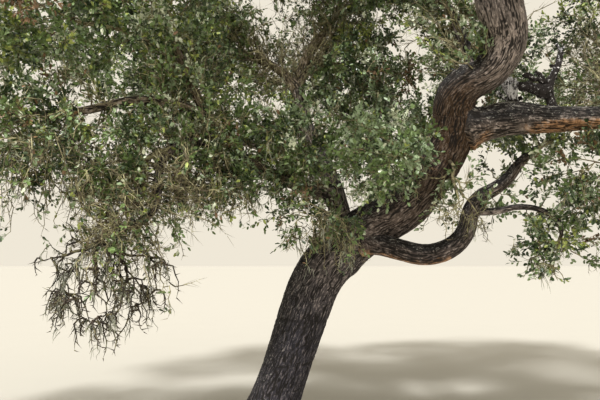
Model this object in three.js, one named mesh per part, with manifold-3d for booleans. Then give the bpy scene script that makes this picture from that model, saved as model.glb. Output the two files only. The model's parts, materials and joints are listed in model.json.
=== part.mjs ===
// A gnarled, leaning oak, whole: trunk, leader, main boughs and the masses of foliage that they carry.
// Millimetres, +Z up. The origin is the centre of the trunk's flat cut at ground level.
// The trunk leans towards +X, and -Y is the side that the leader bends towards on its way up.
import * as THREE from "three";
import { mergeVertices } from "three/addons/utils/BufferGeometryUtils.js";
import Module from "manifold-3d";

const wasm = await Module();
wasm.setup();

const GOLDEN = 0.6180339887; // the golden section, which spreads seeds and turns evenly

// Sizes that drive the whole tree.
const TRUNK_GIRTH = 560; // trunk's diameter at chest height
const FLARE_GROWTH = 0.38; // how much wider the foot is than the trunk above it
const FLARE_HEIGHT = 190; // height in which the root flare dies away
const FLARE_LOBES = 5; // root spurs round the foot
const SPUR_DEPTH = 0.3; // how far the spurs stand out, as a share of the flare
const COLLAR_GROWTH = 0.28; // how much wider a bough is where it leaves its parent
const COLLAR_LENGTH = 130; // in which a collar dies away
const COLLAR_START = 0.8; // where a collar begins, in radii of the parent from the parent's axis
const SIDES = [
  { over: 365, sides: 16 },
  { over: 160, sides: 9 },
  { over: 0, sides: 6 },
]; // how many sides a limb has, by its girth
const RING_SPACING = 300; // between the rings of a slim limb
const RINGS_PER_GIRTH = 0.6; // and of a stout one, as a share of its girth
const GAP = 0.45; // clear space between neighbours that touch
const LUMP = 0.045; // share of the radius by which a limb is out of round
const LUMP_WAVES = [
  { lobes: 2, depth: 1, twist: 2.1 }, // twist: radians per metre of limb
  { lobes: 3, depth: 0.6, twist: 3.4 },
];
const SUNK = 220; // how far the trunk's axis starts below the ground, before the flat cut
const SPRAY_LENGTH = 700; // a leaf stands for a whole spray of oak leaves
const FULL_LEAF_RADIUS = 1000; // leaves of a mass with a mean radius under this are smaller
const SPRAY_WIDTH = 0.55; // share of its length
const SPRAY_THICKNESS = 0.035; // share of its length
const WIDEST = 0.4; // where a leaf is widest, as a share of its length
const HANGING_WIDTH = 0.35; // a lichen-hung twig's width beside a leaf's
const TWIG_TIP = 10; // radius of the last twig
const TWIG_TAPER = 0.8; // a short twig's radius at its end beside that at its root
const THINNEST = 6; // a twig's radius, at least
const NARROWER = 0.6; // a twig's radius beside its parent's, at most
const SHORTEST_TWIG = 150;
const LONG_TWIG = 450; // a twig longer than this below its leaf is bent half-way
const LEAF_ROOM = 0.3; // how far leaves of a mass keep from each other, as a share of their length
const STEM_SHARE = 0.9; // a stem's radius at its root beside its limb's
const THICKEST_STEM = 45; // radius of a mass's stem at its root, at most
const STEM_SUNK = 40; // how far the stem starts inside its bough's tip
const STEM_REACH = 1.35; // how far the stem runs, in distances from its root to the mass's centre
const STEM_HOLDS = [0.35, 0.5, 0.65, 0.8, 0.93]; // where twigs may leave the stem, as shares of its length
const TWIG_HOLDS = [0.4, 0.65, 0.9];
const LEAF_SHARE = 0.75; // the longest share of its twig that a leaf takes
const BEND = 0.3; // how far a twig keeps to its parent's way, as a share of its reach
const TURN_COST = 0.35; // how much a twig's turn away from its parent's way counts beside its reach
const MOST_ROLL = 75; // degrees by which a leaf is turned from level, at most
const TRIES = 20; // targets tried for each spray
const SHELL_START = 0.67; // where a mass's outer shell begins, as a share of its radii
const DETAILS = [5, 3.5, 2, 1]; // detail under the first of these sizes that leaves a sound solid is smoothed away
const SLIVER = 0.3; // and this is what a cut may leave
const LIMB_CLEARANCE = 25; // room that twigs and leaves leave round a limb
const SPACE_MARGIN = 0.03; // room between two masses, as a share of their radii

// The limbs. Each leaves its parent's axis at a share of the parent's length, and then turns through its
// headings, which are spread evenly along it: azimuth from +X towards +Y, and rise above level, in degrees.
// girth holds the diameters at its root and its tip. A limb marked runsOn continues its parent end to end.
const LIMBS = [
  {
    name: "trunk",
    heads: [[-20, 75], [-15, 70], [-15, 70], [-10, 35]], length: 2350, girth: [TRUNK_GIRTH, 530],
  },
  {
    name: "leader_lower", from: "trunk", at: 1, runsOn: true,
    heads: [[-10, 35], [-25, 25], [-20, 50], [-40, 60], [-95, 65]], length: 1800, girth: [530, 470],
  },
  {
    name: "leader_upper", from: "leader_lower", at: 1, runsOn: true,
    heads: [[-95, 65], [-20, 15], [-50, 60], [-135, 60], [-140, 70], [-65, 80]],
    length: 1900, girth: [470, 380],
  },
  {
    name: "right_bough", from: "leader_lower", at: 0.9,
    heads: [[-15, 10], [-25, -5], [0, 5], [15, 30]], length: 2500, girth: [360, 130],
  },
  {
    name: "right_bough_fork", from: "right_bough", at: 0.62,
    heads: [[70, 30], [55, 40], [60, 25]], length: 2000, girth: [150, 80],
  },
  {
    name: "low_bough_inner", from: "trunk", at: 0.97,
    heads: [[-30, 5], [-30, -15], [-25, -15], [-15, 25]], length: 1100, girth: [250, 215],
  },
  {
    name: "low_bough_outer", from: "low_bough_inner", at: 1, runsOn: true,
    heads: [[-15, 25], [10, 80], [10, 25], [20, 50], [15, 30]], length: 1550, girth: [215, 80],
  },
  {
    name: "low_side_branch", from: "low_bough_outer", at: 0.33,
    heads: [[-30, -20], [-20, 15], [-15, -20], [-105, -75]], length: 1000, girth: [75, 45],
  },
  {
    name: "centre_stem", from: "trunk", at: 0.93,
    heads: [[-90, 80], [150, 70], [150, 60], [75, 75]], length: 2050, girth: [260, 150],
  },
  {
    name: "centre_left_limb", from: "centre_stem", at: 0.96,
    heads: [[160, 60], [165, 20], [185, 40]], length: 1500, girth: [110, 75],
  },
  {
    name: "centre_right_limb", from: "centre_stem", at: 1, runsOn: true,
    heads: [[75, 75], [35, 50], [25, 65]], length: 1400, girth: [150, 80],
  },
  {
    name: "left_bough", from: "centre_stem", at: 0.3,
    heads: [[-150, 5], [-160, 20], [-150, 55], [-160, 70]], length: 2450, girth: [165, 80],
  },
  {
    name: "left_low_bough", from: "left_bough", at: 0.42,
    heads: [[-145, 20], [-150, 20], [-155, -5], [-140, -65]], length: 1050, girth: [110, 88],
  },
  {
    name: "left_drooping_limb", from: "left_low_bough", at: 1, runsOn: true,
    heads: [[-140, -65], [-55, -75], [-170, -30], [-165, -5]], length: 1050, girth: [88, 60],
  },
  {
    name: "far_left_bough", from: "left_bough", at: 0.68,
    heads: [[-150, 25], [-165, -20], [-175, 10]], length: 2100, girth: [105, 65],
  },
  {
    name: "leader_side_limb", from: "leader_upper", at: 0.25,
    heads: [[155, 60], [110, 65], [140, 55]], length: 1350, girth: [130, 75],
  },
  {
    name: "top_left_limb", from: "leader_upper", at: 0.9,
    heads: [[170, 50], [165, 25], [175, 20]], length: 2700, girth: [210, 85],
  },
  {
    name: "top_limb", from: "leader_upper", at: 1, runsOn: true,
    heads: [[-65, 80], [130, 55], [160, 80]], length: 2300, girth: [380, 100],
  },
  {
    name: "top_right_limb", from: "top_limb", at: 0.08,
    heads: [[-5, 45], [25, 50], [30, 50]], length: 2000, girth: [220, 85],
  },
  {
    name: "top_back_limb", from: "leader_upper", at: 0.78,
    heads: [[80, 35], [95, 35], [115, 20]], length: 2900, girth: [200, 85],
  },
  {
    name: "front_limb", from: "leader_upper", at: 0.97,
    heads: [[-100, 35], [-110, 15], [-110, 20]], length: 1900, girth: [180, 80],
  },
  {
    name: "front_left_limb", from: "top_left_limb", at: 0.25,
    heads: [[-160, 30], [-140, 0], [-120, 5]], length: 1900, girth: [130, 75],
  },
  {
    name: "front_right_limb", from: "top_right_limb", at: 0.2,
    heads: [[-50, 10], [-50, -5], [-40, 10]], length: 1500, girth: [130, 75],
  },
  {
    name: "back_bough", from: "leader_lower", at: 0.35,
    heads: [[110, 35], [80, 20], [115, 30]], length: 3100, girth: [270, 90],
  },
  {
    name: "back_left_bough", from: "centre_stem", at: 0.55,
    heads: [[115, 5], [145, 20], [135, 30]], length: 2800, girth: [140, 80],
  },
  {
    name: "back_right_bough", from: "back_bough", at: 0.42,
    heads: [[60, 25], [35, 20], [25, 25]], length: 2700, girth: [170, 85],
  },
  {
    name: "left_back_limb", from: "centre_left_limb", at: 0.55,
    heads: [[170, 10], [175, 5], [170, 15]], length: 1600, girth: [80, 60],
  },
  {
    name: "dead_stub", from: "right_bough", at: 0.41,
    heads: [[180, 60], [170, 85], [0, 60], [0, 85]], length: 740, girth: [80, 60],
  },
  {
    name: "bleached_stub", from: "right_bough", at: 0.235,
    heads: [[60, 75], [60, 80]], length: 395, girth: [105, 110],
  },
];

// The masses of foliage. Each fills an ellipsoid, given by its centre and its radii, and its stem leaves a limb
// at a share of that limb's length: 1 is the limb's tip. sprays is how many leaves stand for all of its sprays.
const MASSES = [
  {
    name: "foliage_left_low", on: "far_left_bough", at: 0.7,
    centre: [-2050, -1500, 2950], radii: [700, 650, 480], sprays: 10,
  },
  {
    name: "foliage_far_left", on: "far_left_bough", at: 1,
    centre: [-3550, -1300, 3550], radii: [1200, 1150, 950], sprays: 12,
  },
  {
    name: "foliage_left_inner", on: "left_bough", at: 1,
    centre: [-1000, -1050, 4500], radii: [800, 750, 650], sprays: 11,
  },
  {
    name: "foliage_left_top", on: "left_bough", at: 0.8,
    centre: [-2050, -1350, 4150], radii: [850, 800, 650], sprays: 11,
  },
  {
    name: "foliage_left_under", on: "left_low_bough", at: 0.85,
    centre: [-1450, -1300, 2750], radii: [520, 520, 400], sprays: 8,
  },
  {
    name: "lichen_twigs", on: "left_drooping_limb", at: 1,
    centre: [-1500, -1300, 1700], radii: [650, 450, 620], sprays: 11, hangs: true,
  },
  {
    name: "foliage_centre_left", on: "left_bough", at: 0.36,
    centre: [-520, -850, 2700], radii: [520, 450, 450], sprays: 8,
  },
  {
    name: "foliage_centre", on: "left_bough", at: 0.1,
    centre: [280, -850, 2950], radii: [560, 480, 520], sprays: 9,
  },
  {
    name: "foliage_centre_front", on: "leader_lower", at: 0.45,
    centre: [1180, -1250, 2850], radii: [560, 450, 520], sprays: 9,
  },
  {
    name: "foliage_under_leader", on: "leader_lower", at: 0.68,
    centre: [1850, -1150, 2420], radii: [430, 380, 400], sprays: 8,
  },
  {
    name: "foliage_fork", on: "trunk", at: 0.93,
    centre: [560, -850, 2250], radii: [520, 400, 340], sprays: 8,
  },
  {
    name: "foliage_upper_left", on: "centre_left_limb", at: 1,
    centre: [-1100, 400, 5100], radii: [950, 900, 800], sprays: 11,
  },
  {
    name: "foliage_upper_centre", on: "centre_right_limb", at: 1,
    centre: [850, 600, 5350], radii: [950, 850, 850], sprays: 11,
  },
  {
    name: "foliage_mid", on: "centre_right_limb", at: 0.25,
    centre: [1050, 250, 4050], radii: [700, 650, 600], sprays: 8,
  },
  {
    name: "foliage_behind_leader", on: "leader_side_limb", at: 1,
    centre: [1350, -250, 5150], radii: [600, 550, 450], sprays: 8,
  },
  {
    name: "foliage_right_hanging", on: "right_bough", at: 0.75,
    centre: [3150, -1250, 2550], radii: [600, 550, 480], sprays: 10,
  },
  {
    name: "foliage_right_far", on: "right_bough", at: 1,
    centre: [5150, -1000, 3850], radii: [1200, 1150, 950], sprays: 12,
  },
  {
    name: "foliage_right_back", on: "right_bough_fork", at: 1,
    centre: [4850, 1050, 4700], radii: [1250, 1250, 1100], sprays: 12,
  },
  {
    name: "foliage_low_tip", on: "low_bough_outer", at: 1,
    centre: [3200, -350, 3200], radii: [550, 500, 400], sprays: 8,
  },
  {
    name: "foliage_low_side", on: "low_side_branch", at: 1,
    centre: [2850, -1050, 1900], radii: [500, 400, 300], sprays: 8,
  },
  {
    name: "foliage_top_left", on: "top_left_limb", at: 1,
    centre: [-600, -950, 6550], radii: [1350, 1250, 1100], sprays: 12,
  },
  {
    name: "foliage_top", on: "top_limb", at: 1,
    centre: [1500, -700, 7650], radii: [1400, 1350, 1150], sprays: 13,
  },
  {
    name: "foliage_top_right", on: "top_right_limb", at: 1,
    centre: [3750, -800, 6700], radii: [1300, 1300, 1100], sprays: 12,
  },
  {
    name: "foliage_top_back", on: "top_back_limb", at: 1,
    centre: [1700, 1600, 6600], radii: [1400, 1300, 1150], sprays: 12,
  },
  {
    name: "foliage_front", on: "front_limb", at: 1,
    centre: [1500, -3450, 5650], radii: [1350, 1200, 950], sprays: 12,
  },
  {
    name: "foliage_front_left", on: "front_left_limb", at: 1,
    centre: [-700, -2800, 5300], radii: [1250, 1150, 900], sprays: 11,
  },
  {
    name: "foliage_front_right", on: "front_right_limb", at: 1,
    centre: [3650, -2650, 5350], radii: [1200, 1150, 900], sprays: 11,
  },
  {
    name: "foliage_back", on: "back_bough", at: 1,
    centre: [1100, 2900, 4350], radii: [1400, 1300, 1150], sprays: 12,
  },
  {
    name: "foliage_back_left", on: "back_left_bough", at: 1,
    centre: [-1600, 2300, 4500], radii: [1400, 1300, 1100], sprays: 12,
  },
  {
    name: "foliage_back_right", on: "back_right_bough", at: 1,
    centre: [3500, 2700, 4700], radii: [1300, 1250, 1100], sprays: 12,
  },
  {
    name: "foliage_left_back", on: "left_back_limb", at: 1,
    centre: [-3050, 500, 4800], radii: [1250, 1150, 1000], sprays: 12,
  },
];

const BARK_COLOUR = 0x6b5f52;
const LEAF_COLOUR = 0x5c7040;
const LICHEN_COLOUR = 0x9aa088;
const DEAD_WOOD_COLOUR = 0xa8a296;

const bark = new THREE.MeshStandardMaterial({ color: BARK_COLOUR, roughness: 0.95, metalness: 0 });
const leaf = new THREE.MeshStandardMaterial({ color: LEAF_COLOUR, roughness: 0.6, metalness: 0 });
const lichen = new THREE.MeshStandardMaterial({ color: LICHEN_COLOUR, roughness: 0.95, metalness: 0 });
const deadWood = new THREE.MeshStandardMaterial({ color: DEAD_WOOD_COLOUR, roughness: 0.9, metalness: 0 });

// A geometry as a solid for joining and cutting: only its merged positions count.
function solidOf(geometry) {
  const bare = geometry.clone();
  bare.deleteAttribute("normal");
  bare.deleteAttribute("uv");
  const merged = mergeVertices(bare, 1e-3);
  const mesh = new wasm.Mesh({
    numProp: 3,
    vertProperties: new Float32Array(merged.attributes.position.array),
    triVerts: new Uint32Array(merged.index.array),
  });
  return new wasm.Manifold(mesh);
}

// The largest connected body of a solid, which drops the scraps that a cut or a skipped twig leaves.
function largest(solid) {
  const bodies = solid.decompose();
  return bodies.reduce((best, body) => (body.volume() > best.volume() ? body : best));
}

// A solid whose vertices are merged once more, without the scrap that this frees.
function settled(solid) {
  return largest(solidOf(geometryOf(solid)));
}

// True if more than two faces of a solid meet at an edge, where two of its edges lie on each other.
function pinched(solid) {
  const geometry = geometryOf(solid);
  geometry.deleteAttribute("normal");
  const triVerts = mergeVertices(geometry, 1e-3).index.array;
  const faces = new Map();
  for (let i = 0; i < triVerts.length; i += 3) {
    for (const [a, b] of [[0, 1], [1, 2], [2, 0]]) {
      const ends = [triVerts[i + a], triVerts[i + b]].sort((p, q) => p - q).join();
      faces.set(ends, (faces.get(ends) ?? 0) + 1);
    }
  }
  return Math.max(...faces.values()) > 2;
}

function geometryOf(solid) {
  const mesh = solid.getMesh();
  const geometry = new THREE.BufferGeometry();
  geometry.setAttribute("position", new THREE.BufferAttribute(mesh.vertProperties, 3));
  geometry.setIndex(new THREE.BufferAttribute(mesh.triVerts, 1));
  geometry.computeVertexNormals();
  return geometry;
}

function heading([azimuth, rise]) {
  const a = THREE.MathUtils.degToRad(azimuth);
  const e = THREE.MathUtils.degToRad(rise);
  return new THREE.Vector3(Math.cos(e) * Math.cos(a), Math.cos(e) * Math.sin(a), Math.sin(e));
}

// The direction at a share of a limb's length, between its headings.
function headingAt(heads, share) {
  const x = Math.min(Math.max(share, 0), 1) * (heads.length - 1);
  const i = Math.min(Math.floor(x), heads.length - 2);
  return heading(heads[i]).lerp(heading(heads[i + 1]), x - i).normalize();
}

// A limb's axis as stations, each with its place, its direction and a normal that doesn't twist.
const STATIONS = 60;
function axisOf(limb, start) {
  const step = limb.length / STATIONS;
  const at = start.clone();
  const stations = [];
  let normal = limb.runsOn ? limb.parent.axis[STATIONS].normal : new THREE.Vector3(0, 1, 0);
  for (let i = 0; i <= STATIONS; i += 1) {
    const way = headingAt(limb.heads, i / STATIONS);
    normal = normal.clone().addScaledVector(way, -normal.dot(way)).normalize();
    stations.push({ at: at.clone(), way, normal });
    at.addScaledVector(headingAt(limb.heads, (i + 0.5) / STATIONS), step);
  }
  return stations;
}

// The place, direction and normal at a share of a limb's length. Past either end it runs on straight.
function onAxis(limb, share) {
  const x = Math.min(Math.max(share, 0), 1) * STATIONS;
  const i = Math.min(Math.floor(x), STATIONS - 1);
  const [a, b] = [limb.axis[i], limb.axis[i + 1]];
  const at = a.at.clone().lerp(b.at, x - i);
  const way = a.way.clone().lerp(b.way, x - i).normalize();
  const normal = a.normal.clone().lerp(b.normal, x - i);
  const beyond = (share - Math.min(Math.max(share, 0), 1)) * limb.length;
  return { at: at.addScaledVector(way, beyond), way, normal };
}

// A limb's radius at a share of its length, with no lumps: an even taper, and a collar at a side limb's root.
function radiusAt(limb, share) {
  const [root, tip] = limb.girth;
  const t = Math.min(Math.max(share, 0), 1);
  let radius = (root + (tip - root) * t) / 2;
  if (limb.from && !limb.runsOn) {
    const out = Math.max(t * limb.length - COLLAR_START * radiusAt(limb.parent, limb.at), 0);
    radius *= 1 + COLLAR_GROWTH * Math.exp(-out / COLLAR_LENGTH);
  }
  return radius;
}

// How far a limb is out of round, at an angle about its axis: slow waves, and root spurs at the trunk's foot.
function lumps(limb, share, angle) {
  const metres = (limb.before + share * limb.length) / 1000;
  let growth = 1;
  for (const { lobes, depth, twist } of LUMP_WAVES) {
    growth += LUMP * depth * Math.sin(lobes * angle + limb.phase + twist * metres);
  }
  if (!limb.from) {
    const height = Math.max(share * limb.length - SUNK, 0);
    const spur = 1 + SPUR_DEPTH * Math.cos(FLARE_LOBES * angle);
    growth += FLARE_GROWTH * spur * Math.exp(-height / FLARE_HEIGHT);
  }
  return growth;
}

// A limb as a solid: a cylinder bent along the limb's axis, swollen by a clearance where it is used to cut.
function limbSolid(limb, swell = 0) {
  const widest = Math.max(...limb.girth);
  const { sides } = SIDES.find((row) => widest > row.over);
  const rings = Math.ceil(limb.length / Math.max(widest * RINGS_PER_GIRTH, RING_SPACING));
  const geometry = new THREE.CylinderGeometry(1, 1, 1, sides, rings);
  const position = geometry.getAttribute("position");
  const ends = swell / limb.length;
  for (let i = 0; i < position.count; i += 1) {
    const [x, y, z] = [position.getX(i), position.getY(i), position.getZ(i)];
    const share = (y + 0.5) * (1 + 2 * ends) - ends;
    const rim = Math.hypot(x, z);
    const angle = Math.atan2(z, x);
    const { at, way, normal } = onAxis(limb, share);
    const side = new THREE.Vector3().crossVectors(way, normal);
    const radius = rim * (radiusAt(limb, share) * lumps(limb, share, angle) + swell);
    at.addScaledVector(normal, radius * Math.cos(angle)).addScaledVector(side, -radius * Math.sin(angle));
    position.setXYZ(i, at.x, at.y, at.z);
  }
  const solid = solidOf(geometry);
  if (limb.from) return solid;
  const below = new THREE.BoxGeometry(3 * widest, 3 * widest, 3 * SUNK);
  below.translate(0, 0, -1.5 * SUNK);
  return solid.subtract(solidOf(below));
}

// Works out every limb's axis, parent first.
function placeLimbs() {
  const placed = new Map();
  LIMBS.forEach((row, i) => {
    const limb = { ...row, phase: i * GOLDEN * 2 * Math.PI, before: 0, parent: placed.get(row.from) };
    if (limb.runsOn) {
      limb.phase = limb.parent.phase;
      limb.before = limb.parent.before + limb.parent.length;
    }
    let start;
    if (limb.parent) {
      start = onAxis(limb.parent, row.at).at;
    } else {
      const way = heading(row.heads[0]);
      start = way.multiplyScalar(-SUNK / way.z);
      limb.length += SUNK;
    }
    limb.axis = axisOf(limb, start);
    placed.set(row.name, limb);
  });
  return placed;
}

// Makes the limbs' solids, each cut clear of the limbs before it.
function growLimbs(limbs) {
  const made = new Map();
  for (const limb of limbs.values()) {
    let solid = limbSolid(limb).asOriginal().simplify(DETAILS[0]);
    for (const name of made.keys()) solid = solid.subtract(limbSolid(limbs.get(name), GAP));
    made.set(limb.name, settled(solid));
  }
  return made;
}

// How far out a point is in a mass's ellipsoid: 0 at the centre, 1 on its surface.
function depthIn(mass, point) {
  const [x, y, z] = mass.centre;
  const [a, b, c] = mass.radii;
  return Math.hypot((point.x - x) / a, (point.y - y) / b, (point.z - z) / c);
}

// True if a point is in the mass's own space, and not in space that another mass has a better claim to.
function ownSpace(mass, point) {
  const depth = depthIn(mass, point);
  const ours = (other) => other === mass || depthIn(other, point) > depth + SPACE_MARGIN;
  return depth <= 1 && MASSES.every(ours);
}

// True if a point is clear of every limb by at least the clearance.
function clearOfLimbs(limbs, point) {
  for (const limb of limbs.values())
    for (let i = 0; i <= STATIONS; i += 2) {
      const room = radiusAt(limb, i / STATIONS) * (1 + 2 * LUMP) + LIMB_CLEARANCE;
      if (limb.axis[i].at.distanceToSquared(point) < room * room) return false;
    }
  return true;
}

// The places that a mass's twigs grow to, spread evenly through its outer shell. The steps are the powers
// of 1 / 1.2207, which is to three directions what the golden section is to one.
const EVEN_STEPS = [0.8191725134, 0.6710436067, 0.5497004779];
function targetOf(mass, index) {
  const [a, b, c] = EVEN_STEPS.map((step) => (mass.seed * GOLDEN + step * (index + 1)) % 1);
  const azimuth = 2 * Math.PI * a;
  const height = 1 - 2 * b;
  const flat = Math.sqrt(1 - height * height);
  const reach = Math.cbrt(SHELL_START ** 3 + (1 - SHELL_START ** 3) * c);
  return new THREE.Vector3(
    mass.centre[0] + mass.radii[0] * reach * flat * Math.cos(azimuth),
    mass.centre[1] + mass.radii[1] * reach * flat * Math.sin(azimuth),
    mass.centre[2] + mass.radii[2] * reach * height,
  );
}

// The way across a twig for a leaf's width: level, then rolled about the twig.
function acrossOf(way, roll) {
  const level = new THREE.Vector3(-way.y, way.x, 0);
  if (level.lengthSq() < 1e-4) level.set(1, 0, 0);
  return level.normalize().applyAxisAngle(way, roll);
}

// A twig that ends in a leaf: it leaves its parent at a place, along the parent's way, and bends over to its
// target. Its axis is a line through joints, the last of which is where the leaf begins.
function twigTo(target, start, way, spray, roll) {
  const reach = start.distanceTo(target);
  const bend = start.clone().addScaledVector(way, reach * BEND);
  const curve = new THREE.QuadraticBezierCurve3(start, bend, target);
  const leafLength = Math.min(spray, reach * LEAF_SHARE);
  const from = 1 - leafLength / curve.getLength();
  const long = from * curve.getLength() > LONG_TWIG;
  const joints = (long ? [0, from / 2, from] : [0, from]).map((share) => curve.getPoint(share));
  const leafRoot = joints.at(-1);
  const leafWay = target.clone().sub(leafRoot).normalize();
  const twig = { curve, from, joints, target, leafWay, across: acrossOf(leafWay, roll), load: 1 };
  twig.leafLength = leafRoot.distanceTo(target);
  twig.widest = leafRoot.clone().lerp(target, WIDEST);
  return twig;
}

// The places along a twig at which others may leave it.
function holdsOf(twig, shares) {
  const pieces = twig.joints.length - 1;
  return shares.map((share) => {
    const piece = Math.min(Math.floor(share * pieces), pieces - 1);
    const at = twig.joints[piece].clone().lerp(twig.joints[piece + 1], share * pieces - piece);
    return { twig, share, at, way: twig.curve.getTangent(share * twig.from) };
  });
}

// The points that show how far a leaf reaches: its corners, its middle and its tip.
function leafPoints(twig) {
  const half = (twig.leafLength * SPRAY_WIDTH) / 2;
  const across = [-half, 0, half].map((out) => twig.widest.clone().addScaledVector(twig.across, out));
  return [...across, twig.widest.clone().lerp(twig.target, 0.5), twig.target];
}

// Grows a mass's twigs. The stem runs from inside its bough past the mass's centre. Each target in turn is
// then joined to the hold that reaches it shortest without doubling back.
function growTwigs(mass, limbs) {
  const limb = limbs.get(mass.on);
  const root = onAxis(limb, mass.at);
  const atTip = mass.at === 1;
  const start = root.at.clone().addScaledVector(root.way, atTip ? -STEM_SUNK : 0);
  const end = root.at.clone().lerp(new THREE.Vector3(...mass.centre), STEM_REACH);
  const stem = twigTo(end, start, root.way, SPRAY_LENGTH * mass.leafScale, 0);
  stem.leafPoints = leafPoints(stem);
  const twigs = [stem];
  const room = LEAF_ROOM * SPRAY_LENGTH * mass.leafScale;
  const holds = holdsOf(stem, STEM_HOLDS);
  for (let index = 0; twigs.length <= mass.sprays && index < mass.sprays * TRIES; index += 1) {
    const target = targetOf(mass, index);
    let best = null;
    for (const hold of holds) {
      const way = target.clone().sub(hold.at);
      const reach = way.length();
      const cost = reach * (1 + TURN_COST * (1 - way.dot(hold.way) / reach));
      if (reach > SHORTEST_TWIG && !hold.used && (!best || cost < best.cost)) best = { hold, cost };
    }
    if (!best) continue;
    const roll = THREE.MathUtils.degToRad(MOST_ROLL) * ((((index + mass.seed / 2) * GOLDEN) % 1) * 2 - 1);
    const twig = twigTo(target, best.hold.at, best.hold.way, SPRAY_LENGTH * mass.leafScale, roll);
    twig.leafPoints = leafPoints(twig);
    const taken = twigs.flatMap((other) => other.leafPoints);
    const apart = (point) => taken.every((other) => other.distanceTo(point) > room);
    if (!twig.leafPoints.every(apart)) continue;
    const inSpace = (point) => ownSpace(mass, point) && clearOfLimbs(limbs, point);
    if (![...twig.leafPoints, twig.joints.at(-1)].every(inSpace)) continue;
    best.hold.used = true;
    twig.parent = best.hold.twig;
    twig.hold = best.hold.share;
    for (let up = twig.parent; up; up = up.parent) up.load += 1;
    twigs.push(twig);
    holds.push(...holdsOf(twig, TWIG_HOLDS));
  }
  return twigs;
}

// A twig's radius at a share of its length below the leaf.
function radiusOf(twig, share) {
  return twig.thick + (twig.thin - twig.thick) * share;
}

// A twig and its leaf as one solid: a three-sided cone bent along the twig, which widens into a flat leaf.
function twigSolid(twig, slim) {
  const lastJoint = twig.joints.length - 1;
  const stations = twig.joints.map((at, i) => {
    const radius = radiusOf(twig, i / lastJoint);
    return { at, across: radius, up: radius, way: twig.curve.getTangent((twig.from * i) / lastJoint) };
  });
  const across = (twig.leafLength * SPRAY_WIDTH * slim) / Math.sqrt(3);
  const up = (twig.leafLength * SPRAY_THICKNESS) / 1.5; // a triangle's height is 1.5 of its radius
  stations.push({ at: twig.widest, across, up, way: twig.leafWay });
  stations.push({ at: twig.target, across: 0, up: 0, way: twig.leafWay });
  const last = stations.length - 1;
  const geometry = new THREE.ConeGeometry(1, 1, 3, last);
  const position = geometry.getAttribute("position");
  for (let i = 0; i < position.count; i += 1) {
    const [x, y, z] = [position.getX(i), position.getY(i), position.getZ(i)];
    const station = stations[Math.round((y + 0.5) * last)];
    const rim = x === 0 && z === 0 ? 0 : 1; // 0 at the middle of the cone's base
    const angle = Math.atan2(x, z);
    const side = twig.across.clone().addScaledVector(station.way, -twig.across.dot(station.way)).normalize();
    const face = new THREE.Vector3().crossVectors(side, station.way);
    const at = station.at.clone().addScaledVector(side, rim * station.across * Math.sin(angle));
    at.addScaledVector(face, rim * station.up * Math.cos(angle));
    position.setXYZ(i, at.x, at.y, at.z);
  }
  return solidOf(geometry);
}

// One mass as a solid: all its twigs and leaves fused, with the stem cut clear of its limb.
function massSolid(mass, limbs) {
  const limb = limbs.get(mass.on);
  const twigs = growTwigs(mass, limbs);
  const stemRadius = Math.min(radiusAt(limb, mass.at) * STEM_SHARE, THICKEST_STEM);
  for (const twig of twigs) {
    const room = twig.parent ? NARROWER * radiusOf(twig.parent, twig.hold) : stemRadius;
    twig.thick = Math.max(Math.min(stemRadius * Math.sqrt(twig.load / twigs[0].load), room), THINNEST);
    twig.thin = Math.max(Math.min(twig.thick * TWIG_TAPER, TWIG_TIP), THINNEST);
  }
  const solids = twigs.map((twig) => twigSolid(twig, mass.hangs ? HANGING_WIDTH : 1));
  const fused = largest(wasm.Manifold.union(solids)).asOriginal();
  for (const detail of DETAILS) {
    let cut = fused.simplify(detail);
    for (const other of limbs.values()) cut = cut.subtract(limbSolid(other, GAP));
    cut = settled(largest(cut).asOriginal().simplify(SLIVER));
    if (!pinched(cut)) return cut;
  }
  throw new Error(mass.name + " stays pinched");
}

// Each mass gets its seed, and leaves that suit its size.
MASSES.forEach((mass, i) => {
  const [a, b, c] = mass.radii;
  mass.seed = i + 1;
  mass.leafScale = Math.min(1, Math.cbrt(a * b * c) / FULL_LEAF_RADIUS);
});

const tree = new THREE.Group();
function addPart(name, solid, material) {
  const mesh = new THREE.Mesh(geometryOf(solid), material);
  mesh.name = name;
  tree.add(mesh);
}
const limbs = placeLimbs();
for (const [name, solid] of growLimbs(limbs)) addPart(name, solid, name.endsWith("stub") ? deadWood : bark);
for (const mass of MASSES) addPart(mass.name, massSolid(mass, limbs), mass.hangs ? lichen : leaf);

export default tree;
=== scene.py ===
import json
import math
from functools import partial
from types import SimpleNamespace

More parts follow.
